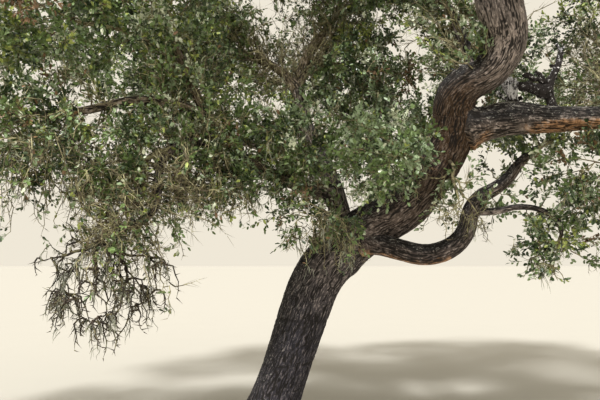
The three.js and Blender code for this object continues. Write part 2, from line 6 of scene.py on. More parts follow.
import bpy
import numpy as np
from bpy.props import FloatProperty, FloatVectorProperty, IntProperty, PointerProperty
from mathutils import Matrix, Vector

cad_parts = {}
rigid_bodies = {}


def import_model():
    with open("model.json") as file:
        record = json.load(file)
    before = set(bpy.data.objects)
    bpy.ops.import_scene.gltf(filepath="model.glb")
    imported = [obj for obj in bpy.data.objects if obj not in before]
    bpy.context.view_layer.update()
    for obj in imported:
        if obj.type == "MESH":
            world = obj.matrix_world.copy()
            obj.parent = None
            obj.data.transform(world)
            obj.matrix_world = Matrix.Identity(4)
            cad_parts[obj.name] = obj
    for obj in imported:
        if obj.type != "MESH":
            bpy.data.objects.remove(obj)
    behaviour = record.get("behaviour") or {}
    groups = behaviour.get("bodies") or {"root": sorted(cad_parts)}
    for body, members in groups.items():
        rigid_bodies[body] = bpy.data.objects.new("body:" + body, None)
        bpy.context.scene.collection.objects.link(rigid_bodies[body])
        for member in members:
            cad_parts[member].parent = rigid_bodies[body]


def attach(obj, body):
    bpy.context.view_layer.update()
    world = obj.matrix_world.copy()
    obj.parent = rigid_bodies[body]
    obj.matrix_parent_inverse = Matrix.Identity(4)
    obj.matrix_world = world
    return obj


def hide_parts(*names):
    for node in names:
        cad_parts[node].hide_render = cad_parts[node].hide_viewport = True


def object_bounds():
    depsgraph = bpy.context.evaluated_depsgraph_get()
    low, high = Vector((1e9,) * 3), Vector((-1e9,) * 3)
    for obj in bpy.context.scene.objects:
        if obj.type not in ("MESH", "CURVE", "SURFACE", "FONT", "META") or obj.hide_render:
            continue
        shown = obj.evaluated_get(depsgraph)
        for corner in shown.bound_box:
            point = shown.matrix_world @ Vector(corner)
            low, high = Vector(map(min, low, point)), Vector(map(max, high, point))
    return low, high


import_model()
CAD_BOX = [list(corner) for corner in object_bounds()]

bl_info = {
    "name": "Gnarled Oak",
    "version": (1, 0, 0),
    "blender": (4, 5, 0),
    "location": "3D View > Sidebar > Oak",
    "description": "Grows the bark, twigs, leaves and lichen of a leaning oak",
    "category": "Object",
}

MM = 0.001
UP = np.array([0.0, 0.0, 1.0])
TUBE_ASIDE = np.array([0.31, 0.17, 0.93])  # directions that no twig runs along exactly
SPIN_ASIDE = np.array([0.27, 0.49, 0.83])
GOLDEN = 0.6180339887  # the golden section, which spreads seeds and turns evenly
SEED = 1887  # of everything that is dealt out by chance, with one of these added for each kind of thing
LEAFY_SEED, LICHEN_SEED, SNAG_SEED, SPROUT_SEED, SPROUT_MASS_SEED = 300, 500, 700, 900, 60
# What is added to a limb's own seed for each chance wave over its bark.
JITTER_SEED, GROOVE_SEED, CRACK_SEED, BREAK_SEED, KNOB_SEED, CRUMB_SEED, JAG_SEED = 5, 9, 30, 33, 40, 50, 60
RING_BEND_SEED, RING_BREAK_SEED = 70, 71
MIXERS = (374761393, 668265263, 974634777, 1274126177)  # large odd numbers that shuffle whole ones
BIGGEST = 0xFFFFFFFF

# The rule of the part's own source, in millimetres as there.
FLARE_GROWTH = 0.38  # how much wider the foot is than the trunk above it
FLARE_HEIGHT = 190
FLARE_LOBES = 5
SPUR_DEPTH = 0.3
COLLAR_GROWTH = 0.28  # how much wider a bough is where it leaves its parent
COLLAR_LENGTH = 130
COLLAR_START = 0.8  # in radii of the parent from the parent's axis
LUMP = 0.045  # share of the radius by which a limb is out of round
LUMP_WAVES = [(2, 1, 2.1), (3, 0.6, 3.4)]  # lobes, depth and twist, in radians per metre of limb
SUNK = 220  # how far the trunk's axis starts below the ground
SPRAY_LENGTH = 700
FULL_LEAF_RADIUS = 1000
SPRAY_WIDTH = 0.55
WIDEST = 0.4
THINNEST = 6
NARROWER = 0.6  # a twig's radius beside its parent's, at most
SHORTEST_TWIG = 150
LONG_TWIG = 450
LEAF_ROOM = 0.3
THICKEST_STEM = 45
STEM_SUNK = 40
STEM_REACH = 1.35
STEM_HOLDS = [0.35, 0.5, 0.65, 0.8, 0.93]
TWIG_HOLDS = [0.4, 0.65, 0.9]
LEAF_SHARE = 0.75
BEND = 0.3  # how far a twig keeps to its parent's way, as a share of its reach
TURN_COST = 0.35  # how much a turn away from the parent's way counts beside the reach
MOST_ROLL = 75
TRIES = 20
SHELL_START = 0.67
LIMB_CLEARANCE = 25
SPACE_MARGIN = 0.03
STATIONS = 60
STRIDE = 2  # stations between those that a clearance is measured from
CURVE_POINTS = 201
EVEN_STEPS = [0.8191725134, 0.6710436067, 0.5497004779]

# The finer growth that the rule is carried to, in millimetres.
FINE_SHELL = 0.2  # where their targets begin, as a share of the mass's radii
FINE_HOLDS = [0.22, 0.36, 0.5, 0.62, 0.74, 0.84, 0.93, 1.0]  # on the main twigs
SIDE_HOLDS = [0.35, 0.6, 0.85]  # on the fine twigs themselves
CLUMPING = 0.22  # how far a fine twig's target is drawn to the nearest spray
FINE_REACH = (90, 820)
FINE_TRIES = 3  # targets for each fine twig that is wanted
FINE_CLEARANCE = 8
MAIN_POINTS, MAIN_SIDES = 8, 5
FINE_POINTS, FINE_SIDES = 6, 3
MAIN_GNARL = 0.035  # how far a twig's inner points stray, as a share of its length
FINE_GNARL = 0.05
TWIG_TAPER, THINNEST_TIP = 0.3, 3.5  # of a main twig
FINE_TIP, THINNEST_FINE = 2.3, 3  # a fine twig's radius at its tip, and the least at its root
FINE_THICK = (3.2, 0.006)  # a fine twig's radius at its root, and what each millimetre of reach adds
SPROUT_THICK = (4, 0.011)

# How shoots stand on a twig and leaves on a shoot, as shares of lengths unless it is said.
SHOOTS_OVER = 0.78  # of a twig, back from its tip
SHOOT_LEAN = (0.25, 0.95)  # how far the shoot at the tip, and the others, lean out
SHOOT_LIFT = 0.15
SHOOT_STRAY = 0.05
SHOOT_LENGTHS = (0.6, 1.25)
FIRST_LEAF = 0.15
LEAF_SPREAD = (0.35, 1.1)  # how far the leaf at the tip, and the others, turn out
LEAF_STRAY = 0.3
SKY_STRAY = 0.9  # how far a leaf's face turns from the sky
LEAF_LENGTHS = (0.62, 1.15)

# The limbs: name, parent, share of the parent's length where it leaves, headings (azimuth and rise), length,
# and diameters at root and tip. One that leaves at 1 runs on from its parent's end.
LIMBS = [
    ("trunk", None, 0, [(-20, 75), (-15, 70), (-15, 70), (-10, 35)], 2350, (560, 530)),
    ("leader_lower", "trunk", 1, [(-10, 35), (-25, 25), (-20, 50), (-40, 60), (-95, 65)], 1800, (530, 470)),
    ("leader_upper", "leader_lower", 1, [(-95, 65), (-20, 15), (-50, 60), (-135, 60), (-140, 70), (-65, 80)],
     1900, (470, 380)),
    ("right_bough", "leader_lower", 0.9, [(-15, 10), (-25, -5), (0, 5), (15, 30)], 2500, (360, 130)),
    ("right_bough_fork", "right_bough", 0.62, [(70, 30), (55, 40), (60, 25)], 2000, (150, 80)),
    ("low_bough_inner", "trunk", 0.97, [(-30, 5), (-30, -15), (-25, -15), (-15, 25)], 1100, (250, 215)),
    ("low_bough_outer", "low_bough_inner", 1, [(-15, 25), (10, 80), (10, 25), (20, 50), (15, 30)],
     1550, (215, 80)),
    ("low_side_branch", "low_bough_outer", 0.33, [(-30, -20), (-20, 15), (-15, -20), (-105, -75)],
     1000, (75, 45)),
    ("centre_stem", "trunk", 0.93, [(-90, 80), (150, 70), (150, 60), (75, 75)], 2050, (260, 150)),
    ("centre_left_limb", "centre_stem", 0.96, [(160, 60), (165, 20), (185, 40)], 1500, (110, 75)),
    ("centre_right_limb", "centre_stem", 1, [(75, 75), (35, 50), (25, 65)], 1400, (150, 80)),
    ("left_bough", "centre_stem", 0.3, [(-150, 5), (-160, 20), (-150, 55), (-160, 70)], 2450, (165, 80)),
    ("left_low_bough", "left_bough", 0.42, [(-145, 20), (-150, 20), (-155, -5), (-140, -65)],
     1050, (110, 88)),
    ("left_drooping_limb", "left_low_bough", 1, [(-140, -65), (-55, -75), (-170, -30), (-165, -5)],
     1050, (88, 60)),
    ("far_left_bough", "left_bough", 0.68, [(-150, 25), (-165, -20), (-175, 10)], 2100, (105, 65)),
    ("leader_side_limb", "leader_upper", 0.25, [(155, 60), (110, 65), (140, 55)], 1350, (130, 75)),
    ("top_left_limb", "leader_upper", 0.9, [(170, 50), (165, 25), (175, 20)], 2700, (210, 85)),
    ("top_limb", "leader_upper", 1, [(-65, 80), (130, 55), (160, 80)], 2300, (380, 100)),
    ("top_right_limb", "top_limb", 0.08, [(-5, 45), (25, 50), (30, 50)], 2000, (220, 85)),
    ("top_back_limb", "leader_upper", 0.78, [(80, 35), (95, 35), (115, 20)], 2900, (200, 85)),
    ("front_limb", "leader_upper", 0.97, [(-100, 35), (-110, 15), (-110, 20)], 1900, (180, 80)),
    ("front_left_limb", "top_left_limb", 0.25, [(-160, 30), (-140, 0), (-120, 5)], 1900, (130, 75)),
    ("front_right_limb", "top_right_limb", 0.2, [(-50, 10), (-50, -5), (-40, 10)], 1500, (130, 75)),
    ("back_bough", "leader_lower", 0.35, [(110, 35), (80, 20), (115, 30)], 3100, (270, 90)),
    ("back_left_bough", "centre_stem", 0.55, [(115, 5), (145, 20), (135, 30)], 2800, (140, 80)),
    ("back_right_bough", "back_bough", 0.42, [(60, 25), (35, 20), (25, 25)], 2700, (170, 85)),
    ("left_back_limb", "centre_left_limb", 0.55, [(170, 10), (175, 5), (170, 15)], 1600, (80, 60)),
    ("dead_stub", "right_bough", 0.41, [(180, 60), (170, 85), (0, 60), (0, 85)], 740, (80, 60)),
    ("bleached_stub", "right_bough", 0.235, [(60, 75), (60, 80)], 395, (105, 110)),
]

# The masses of foliage: name, limb, share of the limb's length where the stem leaves, centre, radii, sprays.
MASSES = [
    ("foliage_left_low", "far_left_bough", 0.7, (-2050, -1500, 2950), (700, 650, 480), 10),
    ("foliage_far_left", "far_left_bough", 1, (-3550, -1300, 3550), (1200, 1150, 950), 12),
    ("foliage_left_inner", "left_bough", 1, (-1000, -1050, 4500), (800, 750, 650), 11),
    ("foliage_left_top", "left_bough", 0.8, (-2050, -1350, 4150), (850, 800, 650), 11),
    ("foliage_left_under", "left_low_bough", 0.85, (-1450, -1300, 2750), (520, 520, 400), 8),
    ("lichen_twigs", "left_drooping_limb", 1, (-1500, -1300, 1700), (650, 450, 620), 11),
    ("foliage_centre_left", "left_bough", 0.36, (-520, -850, 2700), (520, 450, 450), 8),
    ("foliage_centre", "left_bough", 0.1, (280, -850, 2950), (560, 480, 520), 9),
    ("foliage_centre_front", "leader_lower", 0.45, (1180, -1250, 2850), (560, 450, 520), 9),
    ("foliage_under_leader", "leader_lower", 0.68, (1850, -1150, 2420), (430, 380, 400), 8),
    ("foliage_fork", "trunk", 0.93, (560, -850, 2250), (520, 400, 340), 8),
    ("foliage_upper_left", "centre_left_limb", 1, (-1100, 400, 5100), (950, 900, 800), 11),
    ("foliage_upper_centre", "centre_right_limb", 1, (850, 600, 5350), (950, 850, 850), 11),
    ("foliage_mid", "centre_right_limb", 0.25, (1050, 250, 4050), (700, 650, 600), 8),
    ("foliage_behind_leader", "leader_side_limb", 1, (1350, -250, 5150), (600, 550, 450), 8),
    ("foliage_right_hanging", "right_bough", 0.75, (3150, -1250, 2550), (600, 550, 480), 10),
    ("foliage_right_far", "right_bough", 1, (5150, -1000, 3850), (1200, 1150, 950), 12),
    ("foliage_right_back", "right_bough_fork", 1, (4850, 1050, 4700), (1250, 1250, 1100), 12),
    ("foliage_low_tip", "low_bough_outer", 1, (3200, -350, 3200), (550, 500, 400), 8),
    ("foliage_low_side", "low_side_branch", 1, (2850, -1050, 1900), (500, 400, 300), 8),
    ("foliage_top_left", "top_left_limb", 1, (-600, -950, 6550), (1350, 1250, 1100), 12),
    ("foliage_top", "top_limb", 1, (1500, -700, 7650), (1400, 1350, 1150), 13),
    ("foliage_top_right", "top_right_limb", 1, (3750, -800, 6700), (1300, 1300, 1100), 12),
    ("foliage_top_back", "top_back_limb", 1, (1700, 1600, 6600), (1400, 1300, 1150), 12),
    ("foliage_front", "front_limb", 1, (1500, -3450, 5650), (1350, 1200, 950), 12),
    ("foliage_front_left", "front_left_limb", 1, (-700, -2800, 5300), (1250, 1150, 900), 11),
    ("foliage_front_right", "front_right_limb", 1, (3650, -2650, 5350), (1200, 1150, 900), 11),
    ("foliage_back", "back_bough", 1, (1100, 2900, 4350), (1400, 1300, 1150), 12),
    ("foliage_back_left", "back_left_bough", 1, (-1600, 2300, 4500), (1400, 1300, 1100), 12),
    ("foliage_back_right", "back_right_bough", 1, (3500, 2700, 4700), (1300, 1250, 1100), 12),
    ("foliage_left_back", "left_back_limb", 1, (-3050, 500, 4800), (1250, 1150, 1000), 12),
]
LICHEN_MASS = "lichen_twigs"

# Which limbs share a piece of bark, and the spacing of its mesh round them in millimetres.
BARK_GROUPS = {
    "trunk_bark": (("trunk",), 9),
    "leader_bark": (("leader_lower", "leader_upper"), 9.5),
    "right_bough_bark": (("right_bough", "right_bough_fork"), 10),
    "low_bough_bark": (("low_bough_inner", "low_bough_outer", "low_side_branch"), 9.5),
    "centre_bough_bark": (("centre_stem", "centre_left_limb", "centre_right_limb", "leader_side_limb"), 11),
    "left_bough_bark": (("left_bough", "left_low_bough", "left_drooping_limb", "far_left_bough"), 11),
    "top_limb_bark": (("top_limb", "top_left_limb", "top_right_limb", "top_back_limb", "front_limb",
                       "front_left_limb", "front_right_limb"), 17),
    "back_bough_bark": (("back_bough", "back_left_bough", "back_right_bough", "left_back_limb"), 16),
}
MESH_STRETCH = 1.7  # how much wider the mesh's spacing is along a limb than round it
DEAD_GROUP = ("dead_stub", "bleached_stub")

# Which masses share a piece of leaves and a piece of twigs, after their fine twigs for each square metre of a
# mass's section, and their leaves' size beside the others'.
CROWN_GROUPS = {
    "left": (58, 1, ("foliage_left_low", "foliage_far_left", "foliage_left_inner", "foliage_left_top",
                     "foliage_left_under", "foliage_left_back")),
    "centre": (60, 1, ("foliage_centre_left", "foliage_centre", "foliage_centre_front",
                       "foliage_under_leader", "foliage_fork", "foliage_upper_left", "foliage_upper_centre",
                       "foliage_mid", "foliage_behind_leader")),
    "right": (44, 1, ("foliage_right_hanging", "foliage_right_far", "foliage_right_back", "foliage_low_tip",
                      "foliage_low_side")),
    "top": (20, 1.38, ("foliage_top_left", "foliage_top", "foliage_top_right", "foliage_top_back")),
    "front": (21, 1.35, ("foliage_front", "foliage_front_left", "foliage_front_right")),
    "back": (32, 1.18, ("foliage_back", "foliage_back_left", "foliage_back_right")),
}
# How densely fine twigs fill a mass beside the rest of its group.
HOW_DENSE = {
    "foliage_fork": 0.35, "foliage_under_leader": 0.45, "foliage_far_left": 0.7, "foliage_left_back": 0.55,
    "foliage_right_far": 0.75, "foliage_right_back": 1.6, "foliage_right_hanging": 0.95,
    "foliage_upper_centre": 1.6, "foliage_behind_leader": 1.8, "foliage_centre_left": 1.2,
    "foliage_left_top": 1.5, "foliage_low_side": 0.4, "foliage_mid": 1.6,
}
LICHEN_TWIGS_DENSITY = 85  # fine twigs for each square metre of their section
# Twigs that sprout from the limbs' own bark: how many on each limb of a group, the share from which, and how
# long the longest is.
SPROUTS = {
    "left": {"left_bough": (110, 0.1, 560), "left_low_bough": (70, 0.1, 640),
             "far_left_bough": (100, 0.1, 640), "left_drooping_limb": (110, 0.05, 760),
             "left_back_limb": (24, 0.1, 540)},
    "centre": {"trunk": (12, 0.82, 460), "leader_lower": (8, 0.1, 420), "centre_stem": (50, 0.15, 540),
               "centre_left_limb": (140, 0.05, 720), "centre_right_limb": (110, 0.05, 680),
               "leader_side_limb": (120, 0.05, 800)},
    "right": {"low_bough_outer": (14, 0.2, 420), "low_side_branch": (14, 0.3, 420),
              "right_bough_fork": (90, 0.15, 900), "leader_upper": (36, 0.5, 640)},
    "top": {"top_left_limb": (14, 0.2, 540), "top_limb": (12, 0.2, 540), "top_right_limb": (12, 0.2, 540),
            "top_back_limb": (18, 0.2, 540)},
    "front": {"front_limb": (10, 0.2, 540), "front_left_limb": (10, 0.2, 540),
              "front_right_limb": (8, 0.2, 540)},
    "back": {"back_bough": (50, 0.3, 640), "back_left_bough": (34, 0.2, 600),
             "back_right_bough": (76, 0.15, 700)},
}
SHORTEST_SPROUT = 140
SPROUT_GNARL = 0.06
SPROUT_START = 0.9  # how far out from the axis, in radii of the limb, a sprout starts
SPROUT_LEAN, SPROUT_LIFT, SPROUT_STRAY = 0.5, 0.2, 0.4  # along the limb, upwards and by chance
SPROUTS_IN_SPRAY = 4
# Limbs on which twigs sprout from one side alone: the way that it faces, and how square to that they may be.
SPROUT_SIDE = {
    "trunk": ((0, 0, 1), -0.2), "leader_lower": ((0, 0, 1), -0.2), "leader_upper": ((0.55, 0.83, 0), 0.35),
}
SIDE_REACH = (0.3, 0.65)  # how long a leafless sprout's side twigs are beside it
SIDE_STRAY, SIDE_LEAN = 0.15, 0.7
# The share of a mass's fine twigs, or of a limb's sprouts, that have lost their leaves.
BARE_SHARE = {
    "foliage_fork": 0.75, "foliage_under_leader": 0.5, "foliage_left_under": 0.5, "foliage_centre_left": 0.45,
    "foliage_centre": 0.3, "foliage_left_low": 0.3, "foliage_upper_centre": 0.68,
    "foliage_behind_leader": 0.45, "foliage_right_back": 0.45, "foliage_right_hanging": 0.2,
    "foliage_mid": 0.1, "foliage_low_side": 0.55, "trunk": 0.6, "leader_lower": 0.8, "leader_upper": 0.3,
    "leader_side_limb": 0.25, "centre_stem": 0.6, "centre_left_limb": 0.48, "centre_right_limb": 0.7,
    "left_bough": 0.25, "left_low_bough": 0.5, "left_drooping_limb": 0.93, "far_left_bough": 0.35,
    "right_bough_fork": 0.6,
}

# Places where the crown has lost its leaves but not its twigs, so that the limbs behind show: centre, radii.
OPENINGS = [((130, -350, 4150), (560, 560, 470)), ((520, -250, 4450), (330, 560, 360)),
            ((1960, -1250, 2230), (420, 420, 270)), ((1750, -1300, 2550), (300, 350, 220))]

# Bark relief, in millimetres unless it is a share.
RIDGE_SPACING = 35  # between the furrows of one set, round the limb
RIDGE_LENGTH = 120  # along the limb, over which a furrow comes and goes
FURROW_SHARPNESS = 2.0  # how narrow a furrow is beside its ridge
FURROW_DEPTH = 0.021  # share of a limb's girth
WANDER = 1.0  # how far a furrow strays to its neighbours, in spacings
WANDER_LENGTH = 240
JITTER = 0.5  # how far it strays within a short stretch
JITTER_LENGTH = 65
CRACK_SPACING = 75  # between the cracks that break a ridge into plates, along the limb
CRACK_SHARPNESS = 5
CRACK_LENGTH = 70
CRACK_STRAY = (1.4, 150)  # how far a crack strays along the limb, in spacings, and over what length
GROOVE_COMES = (0.62, 0.14, 0.75)  # usual depth, how much less in the second set, and how far it varies
CRACK_COMES = (0.25, 0.9, 0.8)  # usual depth, how far it varies, and the most
SHORTENED = 0.7  # how much a knot is drawn out along its limb
PIT_WIDTH = 0.42  # of a knot's hollow beside the knot
PIT_DEPTH = 1.4
GRAIN_STRETCH = 3.6  # how much longer than wide the fine streaks of bark are
KNOB_DEPTH = 0.035  # share of the radius by which slow swellings stand out
KNOB_LENGTH = 330
KNOB_SUNK = 0.5  # share of their depth by which they are set back
RIDGE_HEIGHT = 0.25  # share of the furrow's depth by which a ridge stands out
CRUMB_LENGTH = 19
CRUMB_DEPTH = 0.2  # share of the furrow's depth
FORK_SWELL = 0.22  # how much further a side limb's root widens where it meets its parent
FORK_LENGTH = 60
ROOT_TAPER = 0.62  # how thin a side limb is at its start inside its parent
TIP_DOME = 30
BROKEN_DOME = -0.3  # share of a broken tip's girth by which its middle is hollow
JAGS = 9  # round a broken tip
FEWEST_SIDES, FEWEST_RINGS = 14, 24  # of a limb's mesh
HALVINGS = 24  # in the search for where the trunk's surface meets the ground
END_FURROW, BROKEN_FURROW = 0.3, 0.6  # how dark the middle of an end is
DEAD_SPACING = 8  # of the stubs' mesh
WORN_RINGS = [(700, 5), (1165, 6)]  # height and depth of old rings worn round the trunk
RING_WIDTH = 22
RING_STRAY = 20  # how far a ring wanders up and down
RING_BENDS, RING_BREAKS = 6, 19  # round the trunk
RING_FINER = 3  # how many breaks there are to a bend
RING_COMES = (0.8, 0.5, 0.6)  # usual depth, how far it varies, and how dark it is

# Knots and burls: limb, share of its length, degrees round it, size, how far out, and their hollow's depth.
KNOTS = [
    ("trunk", 0.80, -115, 75, 26, 0.7),
    ("trunk", 0.52, 160, 48, 12, 0.9),
    ("trunk", 0.9, 95, 90, 22, 0.0),
    ("leader_lower", 0.3, 200, 60, 15, 0.8),
    ("leader_upper", 0.12, -90, 80, 20, 0.5),
    ("leader_upper", 0.62, 175, 45, 10, 0.9),
    ("leader_upper", 0.52, 80, 330, -52, 0.0),
    ("leader_upper", 0.7, -100, 330, 62, 0.0),
    ("leader_upper", 0.24, 116, 230, -128, 0.0),
    ("right_bough", 0.22, -90, 190, 46, 0.0),
    ("right_bough", 0.09, -85, 125, -88, 0.0),
    ("right_bough", 0.5, 165, 42, 9, 0.9),
    ("low_bough_outer", 0.12, 190, 75, 18, 0.6),
    ("centre_stem", 0.45, 180, 40, 10, 0.8),
]

# How bare the underside of a limb is, where the outer bark has come away: shares of its length, and how bare
# it is there, from 0 to 1.
BARED = {
    "right_bough": [(0, 0.4), (0.12, 0.35), (0.24, 0.05), (0.42, 1)],
    "leader_lower": [(0, 0.08)], "leader_upper": [(0, 0.1)],
    "low_bough_inner": [(0, 0.4)], "centre_stem": [(0, 0.2)],
}
# How much painted brown shade lies on the bark along a limb, in the same way. Below 0 it is tan.
PAINTED_SHADE_AND_TAN = {
    "leader_lower": [(0.1, 0.4), (0.8, 1)], "leader_upper": [(0.1, 1), (0.3, 0.3), (0.42, 0)],
    "right_bough": [(0, 0.6), (0.3, 0.2)], "low_bough_inner": [(0, 0.6)], "low_bough_outer": [(0, 0.5)],
    "centre_stem": [(0, 0.5), (0.6, 0), (0.9, -0.7)], "centre_left_limb": [(0, -0.8)],
    "centre_right_limb": [(0, -0.8)], "left_bough": [(0, 0), (0.3, -0.7)], "far_left_bough": [(0, -0.6)],
}
# How much further round a bough the charcoal of its upper side comes, in the same way.
CHARRED = {
    "right_bough": [(0, 0.4), (0.3, 0.3)], "centre_left_limb": [(0, -0.6)], "centre_right_limb": [(0, -0.6)],
    "left_bough": [(0, 0), (0.3, -0.5)], "far_left_bough": [(0, -0.5)],
}
# How far the sun has bleached a dead limb, in the same way.
BLEACHED = {"dead_stub": [(0, -0.5), (0.3, -0.25), (0.62, -0.15), (1, 0.15)],
            "bleached_stub": [(0.3, -0.5), (0.52, -0.2), (0.6, 1.2)]}
FRAYED = {"dead_stub": 35, "bleached_stub": 60}  # how unevenly a stub broke off, in millimetres
# Snags of broken wood: limb, share, azimuth and rise, length and thickness.
SNAGS = [
    ("dead_stub", 0.42, (178, 8), 350, 66), ("dead_stub", 0.35, (176, 26), 320, 58),
    ("dead_stub", 0.50, (170, 45), 190, 34), ("dead_stub", 0.52, (181, 16), 290, 34),
    ("dead_stub", 0.55, (10, 35), 90, 14), ("dead_stub", 0.72, (185, 40), 85, 13),
    ("dead_stub", 0.97, (175, 75), 100, 16), ("dead_stub", 0.96, (5, 60), 90, 14),
    ("bleached_stub", 0.62, (182, 62), 230, 34), ("bleached_stub", 0.66, (205, 72), 250, 30),
    ("bleached_stub", 0.66, (5, 68), 190, 32), ("bleached_stub", 0.72, (90, 85), 220, 34),
    ("bleached_stub", 0.70, (-60, 70), 200, 30), ("bleached_stub", 0.55, (172, 34), 200, 24),
    ("bleached_stub", 0.82, (160, 74), 210, 20), ("bleached_stub", 0.5, (-10, 34), 130, 22),
]
SNAG_POINTS = 8
SNAG_STRAY = 0.07
SNAG_TIP = 0.55  # of its thickness
SNAG_SIDES = 12
SNAG_ROUGHNESS = 10  # millimetres

# A leaf in shares of its length: along it, out from its rib and up. The rest of its outline is mirrored.
LEAF_SIDE = [(0.4, 0.28, 0.06), (0.92, 0.16, -0.04)]
LEAF_FACES = [(0, 1, 2), (0, 2, 4), (0, 4, 3)]

# Leaf tones, and the share of leaves that wear each. A place in the crown may have its own shares.
# The pale tone is partly felted undersides and partly painted glints of light on waxy leaves.
TONES = ["deep", "mid", "grey", "young", "dry", "pale"]
TONE_SHARES = (0.29, 0.32, 0.21, 0.06, 0.03, 0.09)
OWN_TONES = 0.4  # the share of leaves that don't wear the tone of their spray
CLUMP_TONES = 0.5  # the share of fine sprays that wear the tone of their whole spray
# More pale and young leaves at the upper left are painted sunlight on masses that the crown shades.
PLACE_TONES = {
    "foliage_left_top": (0.15, 0.38, 0.19, 0.14, 0.02, 0.12),
    "foliage_left_inner": (0.14, 0.36, 0.18, 0.15, 0.02, 0.15),
    "foliage_upper_left": (0.10, 0.32, 0.22, 0.16, 0.02, 0.18),
    "foliage_far_left": (0.22, 0.42, 0.17, 0.08, 0.02, 0.09),
    "foliage_fork": (0.30, 0.36, 0.14, 0.08, 0.06, 0.06),
    "foliage_centre_front": (0.28, 0.30, 0.28, 0.04, 0.02, 0.08),
    "foliage_under_leader": (0.30, 0.28, 0.30, 0.02, 0.04, 0.06),
    "foliage_low_side": (0.34, 0.30, 0.24, 0.04, 0.01, 0.07),
    "left": (0.20, 0.38, 0.18, 0.12, 0.02, 0.10),
    "centre": (0.24, 0.32, 0.20, 0.10, 0.03, 0.11),
}

# Bare twigs that hang from a mass's own twigs, or a group's sprouts: how many, how long the longest is, and
# how far below their mass they may hang, from 1 at its surface.
HANGING_TWIGS = {
    "lichen_twigs": (110, 560, 1.32), "foliage_fork": (70, 480, 1.9), "foliage_left_under": (110, 700, 1.75),
    "foliage_left_low": (150, 1000, 2.3), "foliage_under_leader": (22, 380, 1.3),
    "foliage_low_side": (24, 300, 1.3), "foliage_centre_left": (110, 640, 1.6),
    "foliage_centre": (70, 450, 1.4), "foliage_centre_front": (24, 350, 1.3),
    "foliage_right_hanging": (26, 350, 1.3),
    "foliage_left_inner": (30, 420, 1.3), "foliage_mid": (50, 450, 1.3), "foliage_upper_left": (90, 560, 1.4),
    "foliage_upper_centre": (110, 560, 1.4), "foliage_behind_leader": (60, 450, 1.3),
    "foliage_right_back": (150, 600, 1.25), "foliage_back_left": (26, 420, 1.3),
    "foliage_back_right": (40, 500, 1.12), "left": (160, 600, 1),
    "centre": (140, 480, 1), "right": (50, 420, 1),
}
HANGING_POINTS = 7
HANGING_FROM = (0.3, 1)
HANGING_LENGTHS = (0.25, 1)
HANGING_STRAY = 0.5
HANGING_LIFT = 0.2  # how far they start out upwards
STEEPEST = 0.85
FALL_START, FALL_POINTS = 0.6, 3  # the points over which they turn down
SPUR_LENGTHS = (25, 110)  # millimetres
SPUR_STRAY, SPUR_LEAN = 0.07, 0.6
SPUR_SHARES = (0.2, 0.33, 0.46, 0.58, 0.7, 0.82, 0.92)
# The share of their spurs that bear leaves.
LEAFY_SPURS = {"lichen_twigs": 0, "foliage_fork": 0.08, "centre": 0.15, "foliage_right_back": 0.15}
USUAL_LEAFY_SPURS = 0.26
SPUR_LEAVES = 4
BATCH = 2000  # how many leaves are measured against the limbs at a time
DRAPED = 0.26  # the share of bare twigs that lichen drapes
TUFTS = 2  # on each of them
TUFT_WIDTH = 0.09
TUFT_PLACES, TUFT_LENGTHS, STRAND_LENGTHS = (0.1, 1), (0.2, 1), (0.35, 1)
TUFT_POWER = 1.5  # which makes short tufts the usual ones
STRAND_FALL = (0.5, 1.2, 3)  # how steeply each stretch of a strand falls
STRAND_DRIFT = 0.6
STRAND_STRETCHES = (0.22, 0.42)
LOW_BEARERS = {"hanging": 2, "fine": 3, "main": 5}  # how often each kind of low twig is draped
# Radii at root and tip, in millimetres, and how much heavier the low leafless twigs are.
SHOOT_RADII, HANGING_RADII, SPUR_RADII = (2.5, 1.2), (6.5, 3), (3.4, 1.6)
LOW_LACE_RADII, HIGH_LACE_RADII = (3.6, 2), (3.2, 2)
HEAVIER = 1.8
CROWN_CRUST, LOW_CRUST = (0.9, 0.43), (0.45, 0.5)  # how thick the twigs' crust is, and how much stays bare


def linear(code):
    """An sRGB hex colour as the linear numbers that shaders take."""
    channels = [int(code[i:i + 2], 16) / 255 for i in (0, 2, 4)]
    return tuple(c / 12.92 if c <= 0.04045 else ((c + 0.055) / 1.055) ** 2.4 for c in channels)


def size_in_metres(name, description, default, smallest=0.0):
    """A length that the sidebar shows with its unit."""
    return FloatProperty(
        name=name, description=description, default=default, min=smallest, subtype="DISTANCE", unit="LENGTH"
    )


def colour(name, description, code):
    """A colour that the sidebar shows, from its sRGB hex value."""
    return FloatVectorProperty(
        name=name, description=description, default=linear(code), min=0, max=1, size=3, subtype="COLOR"
    )


class OakSizes(bpy.types.PropertyGroup):
    """Sizes and numbers of the oak's small parts."""

    leaf_length: size_in_metres("Leaf length", "Length of a full-grown leaf", 0.056, 0.01)
    shoot_length: size_in_metres("Shoot length", "Length of the leafy shoots at the twigs", 0.14, 0.02)
    shoots: IntProperty(name="Shoots", description="Leafy shoots on each fine twig", default=7, min=1)
    leaves: IntProperty(name="Leaves", description="Leaves on each shoot", default=8, min=1)
    strands: IntProperty(name="Lichen strands", description="Strands in each tuft", default=4, min=0)
    strand_length: size_in_metres("Strand length", "Length of the longest strands of lichen", 0.28, 0.02)


